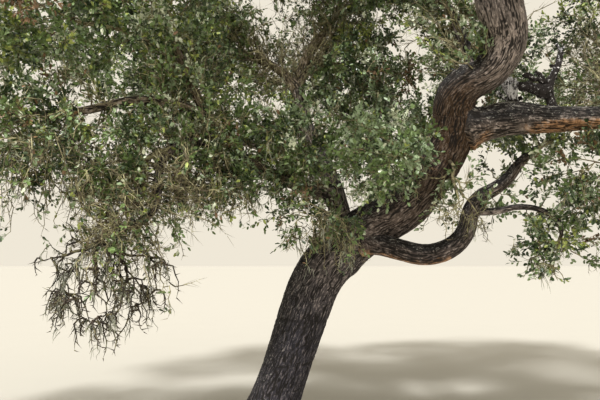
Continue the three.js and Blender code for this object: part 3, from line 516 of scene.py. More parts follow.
class OakColours(bpy.types.PropertyGroup):
    """Colours of the oak's finishes."""

    ridge: colour("Bark ridge", "Weathered crest of the bark", "9f9188")
    furrow: colour("Bark furrow", "Shaded bottom of the bark's furrows", "1a1715")
    # Partly painted highlight on the ridges' crests, as well as their worn pale colour.
    crest: colour("Bark crest", "Pale worn crests of the ridges", "c4b6ae")
    # Also laid in streaks along the boughs' tops that are partly painted highlight.
    crust: colour("Crust lichen", "Pale flecks on the upper bark", "c6c3ba")
    char: colour("Dark bark", "Charcoal bark on the boughs' upper sides", "282728")
    # Painted shade: the crown's blue-grey shade, laid on the trunk low down.
    foot: colour("Foot bark", "Blue-grey bark low on the trunk", "1b1d2a")
    # Painted shade: brown shade round the leader's bend and on the boughs near it.
    shaded_umber: colour("Umber bark", "Brown shaded bark round the leader's bend", "4e3a26")
    bared: colour("Bared wood", "Orange-brown under-bark where the outer bark is gone", "b88c66")
    dead: colour("Dead wood", "Bleached grey wood of broken stubs", "e6e4e6")
    dead_dark: colour("Dead wood foot", "Dark weathered wood of the stubs", "282321")
    twig: colour("Twig bark", "Grey-tan bark of twigs", "86775a")
    twig_lichen: colour("Twig lichen", "Olive-grey crust on twigs", "a09a74")
    low_twig: colour("Low twig bark", "Dark brown bark of the twigs that hang low", "4b3c2c")
    deep: colour("Deep leaf", "Old leaves in shade", "37472a")
    mid: colour("Mid leaf", "Full-grown leaves", "657a45")
    grey: colour("Grey leaf", "Grey-green leaves with a bloom", "899b76")
    young: colour("Young leaf", "Yellow-green new leaves", "9ba657")
    dry: colour("Dry leaf", "Rusty dry leaves", "7a6045")
    # Partly painted glints of light on the leaves, as well as felted undersides.
    pale: colour("Pale leaf", "Leaves that turn their felted undersides out", "d2d8bd")
    lace: colour("Lace lichen", "Hanging pale lichen", "9a9c86")
    floor: colour("Floor", "Plain pale floor", "aeaaa0")
    sky: colour("Sky", "Soft light from all round", "f3ebda")


def lerp(a, b, t):
    return a + (b - a) * t


def unit(v):
    return v / np.linalg.norm(v, axis=-1, keepdims=True)


def any_turn(chance, count):
    return chance.uniform(0, math.tau, count)


def around_zero(chance, most, shape):
    return chance.uniform(-most, most, shape)


def heading(azimuth, rise):
    a, e = math.radians(azimuth), math.radians(rise)
    return np.array([math.cos(e) * math.cos(a), math.cos(e) * math.sin(a), math.sin(e)])


def heading_at(heads, share):
    """The direction at a share of a limb's length, between its headings."""
    x = min(max(share, 0), 1) * (len(heads) - 1)
    i = min(int(x), len(heads) - 2)
    return unit(lerp(heading(*heads[i]), heading(*heads[i + 1]), x - i))


def on_axis(limb, share):
    """Places, directions and normals at shares of a limb's length. Past either end it runs on straight."""
    share = np.asarray(share, float)
    inside = np.clip(share, 0, 1)
    x = inside * STATIONS
    i = np.minimum(x.astype(int), STATIONS - 1)
    t = (x - i)[..., None]
    way = unit(lerp(limb.way[i], limb.way[i + 1], t))
    at = lerp(limb.at[i], limb.at[i + 1], t) + way * ((share - inside) * limb.length)[..., None]
    return at, way, lerp(limb.normal[i], limb.normal[i + 1], t)


def outside_parent(limb, share):
    """How far along a side limb a place is from where the limb leaves its parent's surface."""
    return np.maximum(share * limb.length - COLLAR_START * radius_at(limb.parent, limb.leaves_at), 0)


def radius_at(limb, share):
    """A limb's radius with no lumps: an even taper, and a collar at a side limb's root."""
    share = np.clip(share, 0, 1)
    radius = lerp(limb.girth[0], limb.girth[1], share) / 2
    if limb.is_side:
        radius = radius * (1 + COLLAR_GROWTH * np.exp(-outside_parent(limb, share) / COLLAR_LENGTH))
    return radius


def lumps(limb, share, angle):
    """How far a limb is out of round: slow waves, and root spurs at the trunk's foot."""
    metres = (limb.before + share * limb.length) * MM
    growth = 1
    for lobes, depth, twist in LUMP_WAVES:
        growth = growth + LUMP * depth * np.sin(lobes * angle + limb.phase + twist * metres)
    if limb.parent is None:
        height = np.maximum(share * limb.length - SUNK, 0)
        spur = 1 + SPUR_DEPTH * np.cos(FLARE_LOBES * angle)
        growth = growth + FLARE_GROWTH * spur * np.exp(-height / FLARE_HEIGHT)
    return growth


def place_limbs():
    """Every limb's axis as stations, parent first, each with a normal that doesn't twist."""
    placed = {}
    for i, (name, parent_name, leaves_at, heads, length, girth) in enumerate(LIMBS):
        parent = placed.get(parent_name)
        runs_on = leaves_at == 1
        limb = SimpleNamespace(
            name=name, parent=parent, leaves_at=leaves_at, length=length, girth=girth,
            is_side=parent is not None and not runs_on, phase=i * GOLDEN * math.tau, before=0,
            cells_girth=max(girth),
        )
        if runs_on:
            limb.phase, limb.cells_girth = parent.phase, parent.cells_girth
            limb.before = parent.before + parent.length
        limb.seed = round(limb.phase * 10)
        if parent is None:
            way = heading(*heads[0])
            start = way * (-SUNK / way[2])
            limb.length += SUNK
        else:
            start = on_axis(parent, leaves_at)[0]
        step = limb.length / STATIONS
        normal = parent.normal[-1] if runs_on else np.array([0.0, 1.0, 0.0])
        at, ways, normals = [start], [], []
        for k in range(STATIONS + 1):
            way = heading_at(heads, k / STATIONS)
            normal = unit(normal - way * normal.dot(way))
            ways.append(way)
            normals.append(normal)
            at.append(at[-1] + heading_at(heads, (k + 0.5) / STATIONS) * step)
        limb.at, limb.way, limb.normal = np.array(at[:-1]), np.array(ways), np.array(normals)
        placed[name] = limb
    return placed


def place_masses(limbs):
    """The masses of foliage with their seeds, their number of fine twigs and their leaves' size."""
    groups = {name: settings for *settings, names in CROWN_GROUPS.values() for name in names}
    masses = []
    for i, (name, on, at, centre, radii, sprays) in enumerate(MASSES):
        radius = np.cbrt(np.prod(radii))
        density, leaf = groups.get(name, (LICHEN_TWIGS_DENSITY, 1))
        count = round(density * HOW_DENSE.get(name, 1) * math.pi * (radius * MM) ** 2)
        masses.append(SimpleNamespace(
            name=name, limb=limbs[on], at=at, centre=np.array(centre, float), radii=np.array(radii, float),
            sprays=sprays, seed=i + 1, spray_scale=min(1, radius / FULL_LEAF_RADIUS), fine=count, leaf=leaf,
        ))
    return masses


def depth_in(mass, points):
    """How far out points are in a mass's ellipsoid: 0 at the centre, 1 on its surface."""
    return np.linalg.norm((points - mass.centre) / mass.radii, axis=-1)


class Crown:
    """Grows the twigs of every mass by the source's rule, and then the finer ones that it is carried to."""

    def __init__(self):
        self.limbs = place_limbs()
        self.masses = place_masses(self.limbs)
        shares = np.arange(0, STATIONS + 1, STRIDE) / STATIONS
        limbs = list(self.limbs.values())
        self.stations = np.concatenate([limb.at[::STRIDE] for limb in limbs])
        self.station_radii = np.concatenate([radius_at(limb, shares) * (1 + 2 * LUMP) for limb in limbs])
        self.growth = {mass.name: self.grow(mass) for mass in self.masses}

    def own_space(self, mass, points):
        """True where a point is in the mass's own space, and no other mass has a better claim to it."""
        depth = depth_in(mass, points)
        others = np.min([depth_in(other, points) for other in self.masses if other is not mass], axis=0)
        return (depth <= 1) & (others > depth + SPACE_MARGIN)

    def clear_of_limbs(self, points, clearance):
        gaps = np.linalg.norm(points[:, None] - self.stations, axis=-1)
        return (gaps > self.station_radii + clearance).all(axis=1)

    def grow(self, mass):
        main = self.grow_main(mass)
        self.shape_main(mass, main)
        return SimpleNamespace(main=main, fine=self.grow_fine(mass, main))

    def grow_main(self, mass):
        """The source's own twigs of a mass: each target is joined to the hold that reaches it shortest."""
        at, way, _ = (x[0] for x in on_axis(mass.limb, [mass.at]))
        start = at - way * (STEM_SUNK if mass.at == 1 else 0)
        stem = twig_to(lerp(at, mass.centre, STEM_REACH), start, way, SPRAY_LENGTH * mass.spray_scale, 0)
        twigs = [stem]
        room = LEAF_ROOM * SPRAY_LENGTH * mass.spray_scale
        holds = holds_of(stem, STEM_HOLDS)
        taken = [stem.leaf_points]
        for index in range(mass.sprays * TRIES):
            if len(twigs) > mass.sprays:
                break
            target = target_of(mass, index, SHELL_START)
            best = best_hold(holds, target, SHORTEST_TWIG, math.inf)
            if best is None:
                continue
            roll = math.radians(MOST_ROLL) * (((index + mass.seed / 2) * GOLDEN) % 1 * 2 - 1)
            twig = twig_to(target, best.at, best.way, SPRAY_LENGTH * mass.spray_scale, roll)
            gaps = np.linalg.norm(twig.leaf_points[:, None] - np.concatenate(taken), axis=-1)
            points = np.vstack([twig.leaf_points, twig.joints[-1]])
            fits = self.own_space(mass, points).all() and self.clear_of_limbs(points, LIMB_CLEARANCE).all()
            if gaps.min() <= room or not fits:
                continue
            best.used = True
            twig.parent, twig.hold = best.twig, best.share
            up = twig.parent
            while up is not None:
                up.load += 1
                up = up.parent
            twigs.append(twig)
            taken.append(twig.leaf_points)
            holds += holds_of(twig, TWIG_HOLDS)
        return twigs

    def shape_main(self, mass, twigs):
        """Gives each main twig its radii and its path, which starts on its parent's and strays a little."""
        stem_radius = min(float(radius_at(mass.limb, mass.at)), THICKEST_STEM)
        for number, twig in enumerate(twigs):
            room = stem_radius
            start = twig.start
            if twig.parent is not None:
                share = twig.hold * twig.parent.leaf_from
                start = along(twig.parent.path, share)
                room = NARROWER * lerp(twig.parent.thick, twig.parent.thin, share)
            twig.thick = max(min(stem_radius * math.sqrt(twig.load / twigs[0].load), room), THINNEST)
            twig.thin = max(min(twig.thick * TWIG_TAPER, THINNEST), THINNEST_TIP)
            t = np.linspace(0, 1, MAIN_POINTS)[:, None]
            path = bezier(start, twig.bend, twig.target, t)
            stray = strays(mass.seed * 100 + number, MAIN_POINTS) * np.linalg.norm(path[-1] - path[0])
            twig.path = path + stray * MAIN_GNARL

    def grow_fine(self, mass, main):
        """Fine twigs through the whole mass, each from the hold that reaches its target best."""
        count = mass.fine
        ends = np.array([twig.target for twig in main])
        holds = [fine_hold(twig.path, share, twig.thick, twig.thin) for twig in main for share in FINE_HOLDS]
        targets = np.array([target_of(mass, index + 0.5, FINE_SHELL) for index in range(count * FINE_TRIES)])
        nearest = np.linalg.norm(targets[:, None] - ends, axis=-1).argmin(axis=1)
        targets = lerp(targets, ends[nearest], CLUMPING)
        fits = self.own_space(mass, targets) & self.clear_of_limbs(targets, FINE_CLEARANCE)
        twigs = []
        for number, (target, spray) in enumerate(zip(targets[fits], nearest[fits])):
            if len(twigs) >= count:
                break
            best = best_hold(holds, target, *FINE_REACH)
            if best is None:
                continue
            reach = np.linalg.norm(target - best.at)
            t = np.linspace(0, 1, FINE_POINTS)[:, None]
            path = bezier(best.at, best.at + best.way * reach * BEND, target, t)
            path = path + strays(mass.seed * 1000 + number, FINE_POINTS) * reach * FINE_GNARL
            if not self.clear_of_limbs(path[2:], FINE_CLEARANCE).all():
                continue
            best.used = True
            thick = min(best.room, FINE_THICK[0] + reach * FINE_THICK[1])
            holds += [fine_hold(path, share, thick, FINE_TIP) for share in SIDE_HOLDS]
            thick = max(thick, THINNEST_FINE)
            twigs.append(SimpleNamespace(path=path, thick=thick, thin=FINE_TIP, spray=spray))
        chance = np.random.default_rng(SEED + LEAFY_SEED + mass.seed)
        for twig in twigs:
            twig.leafy = chance.uniform() >= BARE_SHARE.get(mass.name, 0)
        return twigs


def target_of(mass, index, shell):
    """The place that a mass's twig grows to, spread evenly through the ellipsoid from its shell outwards."""
    a, b, c = ((mass.seed * GOLDEN + step * (index + 1)) % 1 for step in EVEN_STEPS)
    height = 1 - 2 * b
    flat = math.sqrt(1 - height * height)
    reach = np.cbrt(shell ** 3 + (1 - shell ** 3) * c)
    azimuth = math.tau * a
    way = np.array([flat * math.cos(azimuth), flat * math.sin(azimuth), height])
    return mass.centre + mass.radii * reach * way


def bezier(start, bend, end, t):
    return (1 - t) ** 2 * start + 2 * t * (1 - t) * bend + t * t * end


def twig_to(target, start, way, spray, roll):
    """A twig as the source has it: it leaves along its parent's way and bends over to its target."""
    reach = np.linalg.norm(target - start)
    bend = start + way * reach * BEND
    length = curve_length(start, bend, target)
    leaf_from = 1 - min(spray, reach * LEAF_SHARE) / length
    is_long = leaf_from * length > LONG_TWIG
    shares = [0, leaf_from / 2, leaf_from] if is_long else [0, leaf_from]
    joints = np.array([bezier(start, bend, target, share) for share in shares])
    leaf_way = unit(target - joints[-1])
    across = np.array([-leaf_way[1], leaf_way[0], 0.0])
    across = unit(across) if across.dot(across) >= 1e-4 else np.array([1.0, 0, 0])
    across = across * math.cos(roll) + np.cross(leaf_way, across) * math.sin(roll)
    widest = lerp(joints[-1], target, WIDEST)
    half = np.linalg.norm(target - joints[-1]) * SPRAY_WIDTH / 2
    points = [widest - across * half, widest, widest + across * half, lerp(widest, target, 0.5), target]
    return SimpleNamespace(start=start, bend=bend, target=target, leaf_from=leaf_from, joints=joints, load=1,
                           parent=None, hold=0, leaf_points=np.array(points))


def curve_length(start, bend, end):
    points = bezier(start, bend, end, np.linspace(0, 1, CURVE_POINTS)[:, None])
    return np.linalg.norm(np.diff(points, axis=0), axis=1).sum()


def holds_of(twig, shares):
    """The places along a twig at which others may leave it."""
    pieces = len(twig.joints) - 1
    holds = []
    for share in shares:
        piece = min(int(share * pieces), pieces - 1)
        at = lerp(twig.joints[piece], twig.joints[piece + 1], share * pieces - piece)
        t = share * twig.leaf_from
        way = unit((1 - t) * (twig.bend - twig.start) + t * (twig.target - twig.bend))
        holds.append(SimpleNamespace(twig=twig, share=share, at=at, way=way, used=False))
    return holds


def best_hold(holds, target, shortest, longest):
    """The free hold that reaches a target shortest without doubling back."""
    way = target - np.array([hold.at for hold in holds])
    reach = np.linalg.norm(way, axis=1)
    turn = 1 - (way * np.array([hold.way for hold in holds])).sum(axis=1) / np.maximum(reach, 1e-9)
    cost = reach * (1 + TURN_COST * turn)
    usable = (reach > shortest) & (reach < longest) & ~np.array([hold.used for hold in holds])
    if not usable.any():
        return None
    return holds[int(np.where(usable, cost, np.inf).argmin())]


def along(path, share):
    """The place at a share of a path."""
    x = min(max(share, 0), 1) * (len(path) - 1)
    i = min(int(x), len(path) - 2)
    return lerp(path[i], path[i + 1], x - i)


def way_along(path, share):
    i = min(int(min(max(share, 0), 1) * (len(path) - 1)), len(path) - 2)
    return unit(path[i + 1] - path[i])


def fine_hold(path, share, thick, thin):
    """A place along a finished twig at which a finer one may leave it."""
    return SimpleNamespace(at=along(path, share), way=way_along(path, share), used=False,
                           room=NARROWER * lerp(thick, thin, share))


def strays(seed, count):
    """Small offsets for a path's inner points; its ends stay."""
    offsets = np.random.default_rng(SEED + seed).uniform(-1, 1, (count, 3))
    offsets[0] = offsets[-1] = 0
    return offsets


def dealt(i, j, seed):
    """An even, repeatable number from 0 to 1 for each pair of whole numbers."""
    across, along_it, start, again = MIXERS
    mixed = (i.astype(np.int64) * across + j.astype(np.int64) * along_it + seed * start) & BIGGEST
    mixed = ((mixed ^ (mixed >> 13)) * again) & BIGGEST
    return (mixed ^ (mixed >> 16)) / BIGGEST


def wave(u, v, period, seed):
    """Smooth chance from -1 to 1 over a limb's surface, which joins up with itself after a period of u."""
    iu, iv = np.floor(u), np.floor(v)
    tu, tv = u - iu, v - iv
    tu, tv = tu * tu * (3 - 2 * tu), tv * tv * (3 - 2 * tv)
    corner = [[dealt((iu + a) % period, iv + b, seed) for b in (0, 1)] for a in (0, 1)]
    near = lerp(corner[0][0], corner[1][0], tu)
    far = lerp(corner[0][1], corner[1][1], tu)
    return lerp(near, far, tv) * 2 - 1


def cells_round(limb, size, fewest):
    """How many cells of a size go round a limb, so that they join up."""
    return max(round(math.pi * limb.cells_girth / size), fewest)


def furrows_of(limb, share, angle):
    """How deep in a furrow each place on a limb is, from 0 on a ridge to 1. Two sets of furrows follow the
    grain, stray across each other, and come and go, and cracks across them break the ridges into plates."""
    millimetres = limb.before + share * limb.length
    turn = angle / math.tau
    count = cells_round(limb, RIDGE_SPACING, 5)
    slow = max(count // 3, 3)
    usual, less, varies = GROOVE_COMES
    deepest = 0
    for k in (0, 1):
        stray = WANDER * wave(turn * slow, millimetres / WANDER_LENGTH, slow, limb.seed + k)
        jitter = wave(turn * count, millimetres / JITTER_LENGTH, count, limb.seed + JITTER_SEED + k)
        stray = stray + JITTER * jitter
        groove = (0.5 + 0.5 * np.cos(math.tau * (turn * count + 0.5 * k + stray))) ** FURROW_SHARPNESS
        comes = wave(turn * count + 0.5 * k, millimetres / RIDGE_LENGTH, count, limb.seed + GROOVE_SEED + k)
        deepest = np.maximum(deepest, groove * np.clip(usual - less * k + varies * comes, 0, 1))
    stray, stray_length = CRACK_STRAY
    stray = stray * wave(turn * count, millimetres / stray_length, count, limb.seed + CRACK_SEED)
    crack = (0.5 + 0.5 * np.cos(math.tau * (millimetres / CRACK_SPACING + stray))) ** CRACK_SHARPNESS
    breaks = wave(turn * count, millimetres / CRACK_LENGTH, count, limb.seed + BREAK_SEED)
    usual, varies, most = CRACK_COMES
    return np.maximum(deepest, crack * np.clip(usual + varies * breaks, 0, most))


def told_along(table, limb, share):
    """What a table tells of a limb at shares of its length, or 0 for a limb that it leaves out."""
    shares, values = zip(*table.get(limb.name, [(0, 0)]))
    return np.interp(share, shares, values)


def knots_of(limb, share, angle):
    """How far the knots stand out of a limb, in millimetres, and how dark the painted shade of their hollows
    is.
    """
    out, hollow = 0 * angle, 0 * angle
    for name, at, turn, size, height, depth in KNOTS:
        if name == limb.name:
            around = (angle - math.radians(turn) + math.pi) % math.tau - math.pi
            off = np.hypot(around * radius_at(limb, at), (share - at) * limb.length * SHORTENED) / size
            pit = depth * np.exp(-((off / PIT_WIDTH) ** 2))
            out = out + height * (np.exp(-(off ** 2)) - PIT_DEPTH * pit)
            hollow = np.maximum(hollow, pit)
    return out, hollow


def limb_surface(limb, share, angle):
    """A limb's surface with its relief, in millimetres, and what the bark's finish reads of it."""
    at, way, normal = on_axis(limb, share)
    side = np.cross(way, normal)
    out = normal * np.cos(angle)[..., None] - side * np.sin(angle)[..., None]
    radius = radius_at(limb, share)
    furrow = furrows_of(limb, share, angle)
    girth = 2 * radius
    if limb.is_side:
        inside = share * limb.length / (COLLAR_START * radius_at(limb.parent, limb.leaves_at))
        radius = radius * (1 + FORK_SWELL * np.exp(-outside_parent(limb, share) / FORK_LENGTH))
        radius = radius * lerp(ROOT_TAPER, 1, np.clip(inside, 0, 1))
    millimetres = limb.before + share * limb.length
    count = cells_round(limb, KNOB_LENGTH, 3)
    knobs = wave(angle / math.tau * count, millimetres / KNOB_LENGTH, count, limb.seed + KNOB_SEED)
    count = cells_round(limb, CRUMB_LENGTH, 6)
    crumbs = wave(angle / math.tau * count, millimetres / CRUMB_LENGTH, count, limb.seed + CRUMB_SEED)
    knot, hollow = knots_of(limb, share, angle)
    relief = FURROW_DEPTH * girth * (RIDGE_HEIGHT - furrow + CRUMB_DEPTH * crumbs) + knot
    radius = radius * (lumps(limb, share, angle) + KNOB_DEPTH * (knobs - KNOB_SUNK)) + relief
    point = at + out * radius[..., None]
    furrow = np.maximum(furrow, hollow)
    if limb.parent is None:
        for height, depth in WORN_RINGS:
            row = 0 * angle + height
            bends = wave(angle, row, RING_BENDS, limb.seed + RING_BEND_SEED)
            level = point[..., 2] - height + RING_STRAY * bends
            ring = np.exp(-((level / RING_WIDTH) ** 2))
            usual, varies, shade = RING_COMES
            comes = wave(angle * RING_FINER, row, RING_BREAKS, limb.seed + RING_BREAK_SEED)
            ring = ring * np.clip(usual + varies * comes, 0, 1)
            point = point - out * (depth * ring)[..., None]
            furrow = np.maximum(furrow, shade * ring)
    reach = millimetres[..., None]
    grain = np.concatenate([out * radius[..., None], reach + 0 * radius[..., None]], axis=-1)
    return point, furrow, out, grain


def limb_mesh(limb, spacing, broken=False):
    """A limb's closed mesh: points, quads, end triangles, and what its finish reads at each point."""
    sides = max(round(math.pi * max(limb.girth) / spacing), FEWEST_SIDES)
    rings = max(round(limb.length / (spacing * MESH_STRETCH)), FEWEST_RINGS)
    angle = np.arange(sides) / sides * math.tau
    first = np.zeros(sides)
    if limb.parent is None:
        first = ground_share(limb, angle)
    elif not limb.is_side:
        first = first - spacing / 2 / limb.length
    last = np.ones(sides)
    if broken:
        jag = wave(angle / math.tau * JAGS, 0 * angle, JAGS, limb.seed + JAG_SEED)
        last = 1 - FRAYED[limb.name] / limb.length * (1 + jag)
    t = np.linspace(0, 1, rings + 1)[:, None]
    share = first + (last - first) * t
    point, furrow, out, grain = limb_surface(limb, share, angle + 0 * share)
    if limb.parent is None:
        point[0, :, 2] = 0
    foot = point[0].mean(axis=0)
    dome = BROKEN_DOME * limb.girth[1] if broken else TIP_DOME
    tip = point[-1].mean(axis=0) + on_axis(limb, 1.0)[1] * dome
    ring, step = np.meshgrid(np.arange(rings), np.arange(sides), indexing="ij")
    after = (step + 1) % sides
    quads = np.stack([ring * sides + step, ring * sides + after, (ring + 1) * sides + after,
                      (ring + 1) * sides + step], axis=-1).reshape(-1, 4)
    base = (rings + 1) * sides
    around = np.arange(sides)
    onward = (around + 1) % sides
    foot_fan = np.stack([onward, around, np.full(sides, base)], axis=-1)
    tip_fan = np.stack([rings * sides + around, rings * sides + onward, np.full(sides, base + 1)], axis=-1)
    points = np.vstack([point.reshape(-1, 3), foot, tip]) * MM
    bare = -out[..., 2] * told_along(BARED, limb, share)
    if broken:
        bare = told_along(BLEACHED, limb, share)
    return SimpleNamespace(
        points=points, quads=quads[:, ::-1], triangles=np.vstack([foot_fan, tip_fan])[:, ::-1],
        furrow=np.append(furrow, [END_FURROW, BROKEN_FURROW if broken else END_FURROW]),
        bare=np.append(bare, [0, 0]),
        dark=np.append(told_along(PAINTED_SHADE_AND_TAN, limb, share), [0, 0]),
        upper=np.append(out[..., 2] + told_along(CHARRED, limb, share), [0, 0]),
        grain=np.vstack([grain.reshape(-1, 4), np.zeros((2, 4))]),
    )


def ground_share(limb, angle):
    """The share of the trunk at which its surface meets the ground, for each angle."""
    low, high = np.zeros_like(angle), np.full_like(angle, 0.5)
    for _ in range(HALVINGS):
        middle = (low + high) / 2
        below = limb_surface(limb, middle, angle)[0][..., 2] < 0
        low, high = np.where(below, middle, low), np.where(below, high, middle)
    return high


def tubes(paths, thick, thin, sides):
    """Tapering twigs as one set of points and triangles: each path ends in a point."""
    count, points, _ = paths.shape
    ways = unit(np.gradient(paths, axis=1))
    aside = unit(np.cross(ways, TUBE_ASIDE))
    face = np.cross(ways, aside)
    t = np.linspace(0, 1, points)
    radius = (thick[:, None] * (1 - t) + thin[:, None] * t)[..., None, None]
    angle = (np.arange(sides) / sides * math.tau)[:, None]
    rings = paths[:, :, None] + radius * (
        aside[:, :, None] * np.cos(angle) + face[:, :, None] * np.sin(angle)
    )
    bodies = rings[:, :-1].reshape(count, -1, 3)
    vertices = np.concatenate([bodies, paths[:, -1:]], axis=1)
    ring, step = np.meshgrid(np.arange(points - 2), np.arange(sides), indexing="ij")
    a = ring * sides + step
    b = ring * sides + (step + 1) % sides
    walls = np.stack([a, b, b + sides, a, b + sides, a + sides], axis=-1).reshape(-1, 3)
    last = (points - 2) * sides
    step = np.arange(sides)
    tip = np.stack([last + step, last + (step + 1) % sides, np.full(sides, (points - 1) * sides)], axis=-1)
    faces = np.vstack([walls, tip])
    stride = vertices.shape[1]
    faces = faces[None] + (np.arange(count) * stride)[:, None, None]
    return vertices.reshape(-1, 3) * MM, faces.reshape(-1, 3)


def joined(sets):
    """Several sets of points and faces as one."""
    points, faces, count = [], [], 0
    for some_points, some_faces in sets:
        points.append(some_points)
        faces.append(some_faces + count)
        count += len(some_points)
    return np.concatenate(points), np.concatenate(faces)


def paths_along(paths, shares):
    """Places and directions at shares of many paths at once."""
    x = shares * (paths.shape[1] - 1)
    i = np.minimum(x.astype(int), paths.shape[1] - 2)
    row = np.arange(len(paths))
    a, b = paths[row, i], paths[row, i + 1]
    return lerp(a, b, (x - i)[:, None]), unit(b - a)


def spun(way, turn):
    """A direction square to each way, turned about it."""
    aside = unit(np.cross(way, SPIN_ASIDE))
    face = np.cross(way, aside)
    return aside * np.cos(turn)[:, None] + face * np.sin(turn)[:, None]


def all_paths(growth):
    """The paths of a mass's fine twigs, and the outer ends of its main ones."""
    return np.array([twig.path for twig in growth.fine] + [twig.path[-FINE_POINTS:] for twig in growth.main])


def grow_shoots(growth, sizes, chance):
    """Leafy shoots along a mass's twigs: their paths, and the fine and the whole spray of each."""
    twigs = all_paths(growth)
    count = len(twigs)
    sprays = np.array([twig.spray for twig in growth.fine] + list(range(len(growth.main))))
    own = np.arange(count)
    paths, owners = [], []
    for k in range(sizes.shoots):
        shares = np.full(count, 1 - k * SHOOTS_OVER / sizes.shoots)
        shares = np.clip(shares + around_zero(chance, SHOOT_STRAY, count) * (k > 0), 0, 1)
        at, way = paths_along(twigs, shares)
        out = spun(way, math.tau * GOLDEN * k + any_turn(chance, count))
        course = unit(way + out * SHOOT_LEAN[min(k, 1)] + UP * SHOOT_LIFT)
        length = sizes.shoot_length / MM * chance.uniform(*SHOOT_LENGTHS, count)[:, None]
        paths.append(np.stack([at, at + course * length], axis=1))
        owners.append(np.stack([own, sprays], axis=1))
    return np.concatenate(paths), np.concatenate(owners)


def grow_leaves(shoots, owners, leaf_length, leaves, chance):
    """The frames of the leaves along the shoots: place, way, across and size, and each leaf's sprays."""
    parts = []
    count = len(shoots)
    for k in range(leaves):
        share = np.full(count, FIRST_LEAF + (1 - FIRST_LEAF) * k / max(leaves - 1, 1))
        at, way = paths_along(shoots, share)
        out = spun(way, math.tau * GOLDEN * k + any_turn(chance, count))
        spread = LEAF_SPREAD[0 if k == leaves - 1 else 1]
        leaf_way = unit(way + out * spread + around_zero(chance, LEAF_STRAY, (count, 3)))
        sky = unit(UP + around_zero(chance, SKY_STRAY, (count, 3)))
        length = leaf_length / MM * chance.uniform(*LEAF_LENGTHS, count)
        parts.append((at, leaf_way, unit(np.cross(sky, leaf_way)), length, owners))
    return [np.concatenate(x) for x in zip(*parts)]


def grow_hanging(mass, growth, inside, chance):
    """Bare twigs that leave a mass's own twigs sideways and turn down, with short spurs."""
    if mass.name not in HANGING_TWIGS:
        return None
    count, longest, lowest = HANGING_TWIGS[mass.name]
    twigs = all_paths(growth)
    places = []
    for _ in range(2):
        bearers = twigs[chance.integers(0, len(twigs), count)]
        places.append(paths_along(bearers, chance.uniform(*HANGING_FROM, count))[0])
    lower = places[0][:, 2] < places[1][:, 2]
    turn = any_turn(chance, count)
    aside = np.stack([np.cos(turn), np.sin(turn), HANGING_LIFT + 0 * turn], axis=1)
    length = chance.uniform(*HANGING_LENGTHS, count)[:, None] * longest
    path = [np.where(lower[:, None], *places)]
    for k in range(HANGING_POINTS - 1):
        drop = lerp(aside, -UP, min(STEEPEST, (k + FALL_START) / FALL_POINTS))
        course = unit(drop + around_zero(chance, HANGING_STRAY, (count, 3)))
        path.append(path[-1] + course * length / (HANGING_POINTS - 1))
    paths = np.stack(path, axis=1)
    paths = paths[inside(paths, lowest).all(axis=1)]
    count = len(paths)
    spurs = []
    for share in SPUR_SHARES:
        at, way = paths_along(paths, np.clip(share + around_zero(chance, SPUR_STRAY, count), 0, 1))
        course = unit(way * SPUR_LEAN + spun(way, any_turn(chance, count)))
        spurs.append(np.stack([at, at + course * chance.uniform(*SPUR_LENGTHS, count)[:, None]], axis=1))
    return SimpleNamespace(paths=paths, spurs=np.concatenate(spurs))


def leaf_mesh(places, ways, across, lengths):
    """Leaves in their own blunt-tipped outline, cupped a little and arched towards the tip."""
    outline = [(0, 0, 0), *LEAF_SIDE, *[(x, -y, z) for x, y, z in LEAF_SIDE]]
    template = np.array(outline, float)
    normal = np.cross(ways, across)
    axes = np.stack([ways, across, normal], axis=1)
    points = places[:, None] + lengths[:, None, None] * np.einsum("vk,nkc->nvc", template, axes)
    faces = np.array(LEAF_FACES)[None] + (np.arange(len(places)) * len(template))[:, None, None]
    return points.reshape(-1, 3) * MM, faces.reshape(-1, 3)


def tones_of(mass, sprays, chance):
    """The tone of each leaf: its own, its fine spray's, or that of the whole spray which it belongs to."""
    shares = np.cumsum(PLACE_TONES.get(mass.name, TONE_SHARES))
    shares = shares / shares[-1]
    by_spray = np.searchsorted(shares, chance.uniform(0, 1, (2, sprays.max() + 1)))
    keeps = chance.uniform(0, 1, sprays.max() + 1) > CLUMP_TONES
    tone = np.where(keeps[sprays[:, 0]], by_spray[0, sprays[:, 0]], by_spray[1, sprays[:, 1]])
    own = np.searchsorted(shares, chance.uniform(0, 1, len(sprays)))
    return np.where(chance.uniform(0, 1, len(sprays)) < OWN_TONES, own, tone)


def make_piece(name, points, face_sets, materials, nodes=(), smooth=False, tone=None, values=None):
    """A mesh from arrays, with its materials, that rides on the tree and stands for CAD nodes."""
    mesh = bpy.data.meshes.new(name)
    mesh.vertices.add(len(points))
    mesh.vertices.foreach_set("co", points.astype(np.float32).ravel())
    corners = np.concatenate([faces.ravel() for faces in face_sets])
    sizes = np.concatenate([np.full(len(faces), faces.shape[1]) for faces in face_sets])
    mesh.loops.add(len(corners))
    mesh.loops.foreach_set("vertex_index", corners.astype(np.int32))
    mesh.polygons.add(len(sizes))
    mesh.polygons.foreach_set("loop_start", (np.cumsum(sizes) - sizes).astype(np.int32))
    if tone is not None:
        mesh.polygons.foreach_set("material_index", tone.astype(np.int32))
    mesh.polygons.foreach_set("use_smooth", np.full(len(sizes), smooth))
    for key, (kind, numbers) in (values or {}).items():
        field = mesh.attributes.new(key, kind, "POINT")
        field.data.foreach_set("value" if kind == "FLOAT" else "vector", numbers.astype(np.float32).ravel())
    mesh.update(calc_edges=True)
    for material in materials:
        mesh.materials.append(material)
    piece = bpy.data.objects.new(name, mesh)
    bpy.context.scene.collection.objects.link(piece)
    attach(piece, "root")
    if nodes:
        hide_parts(*nodes)
    return piece


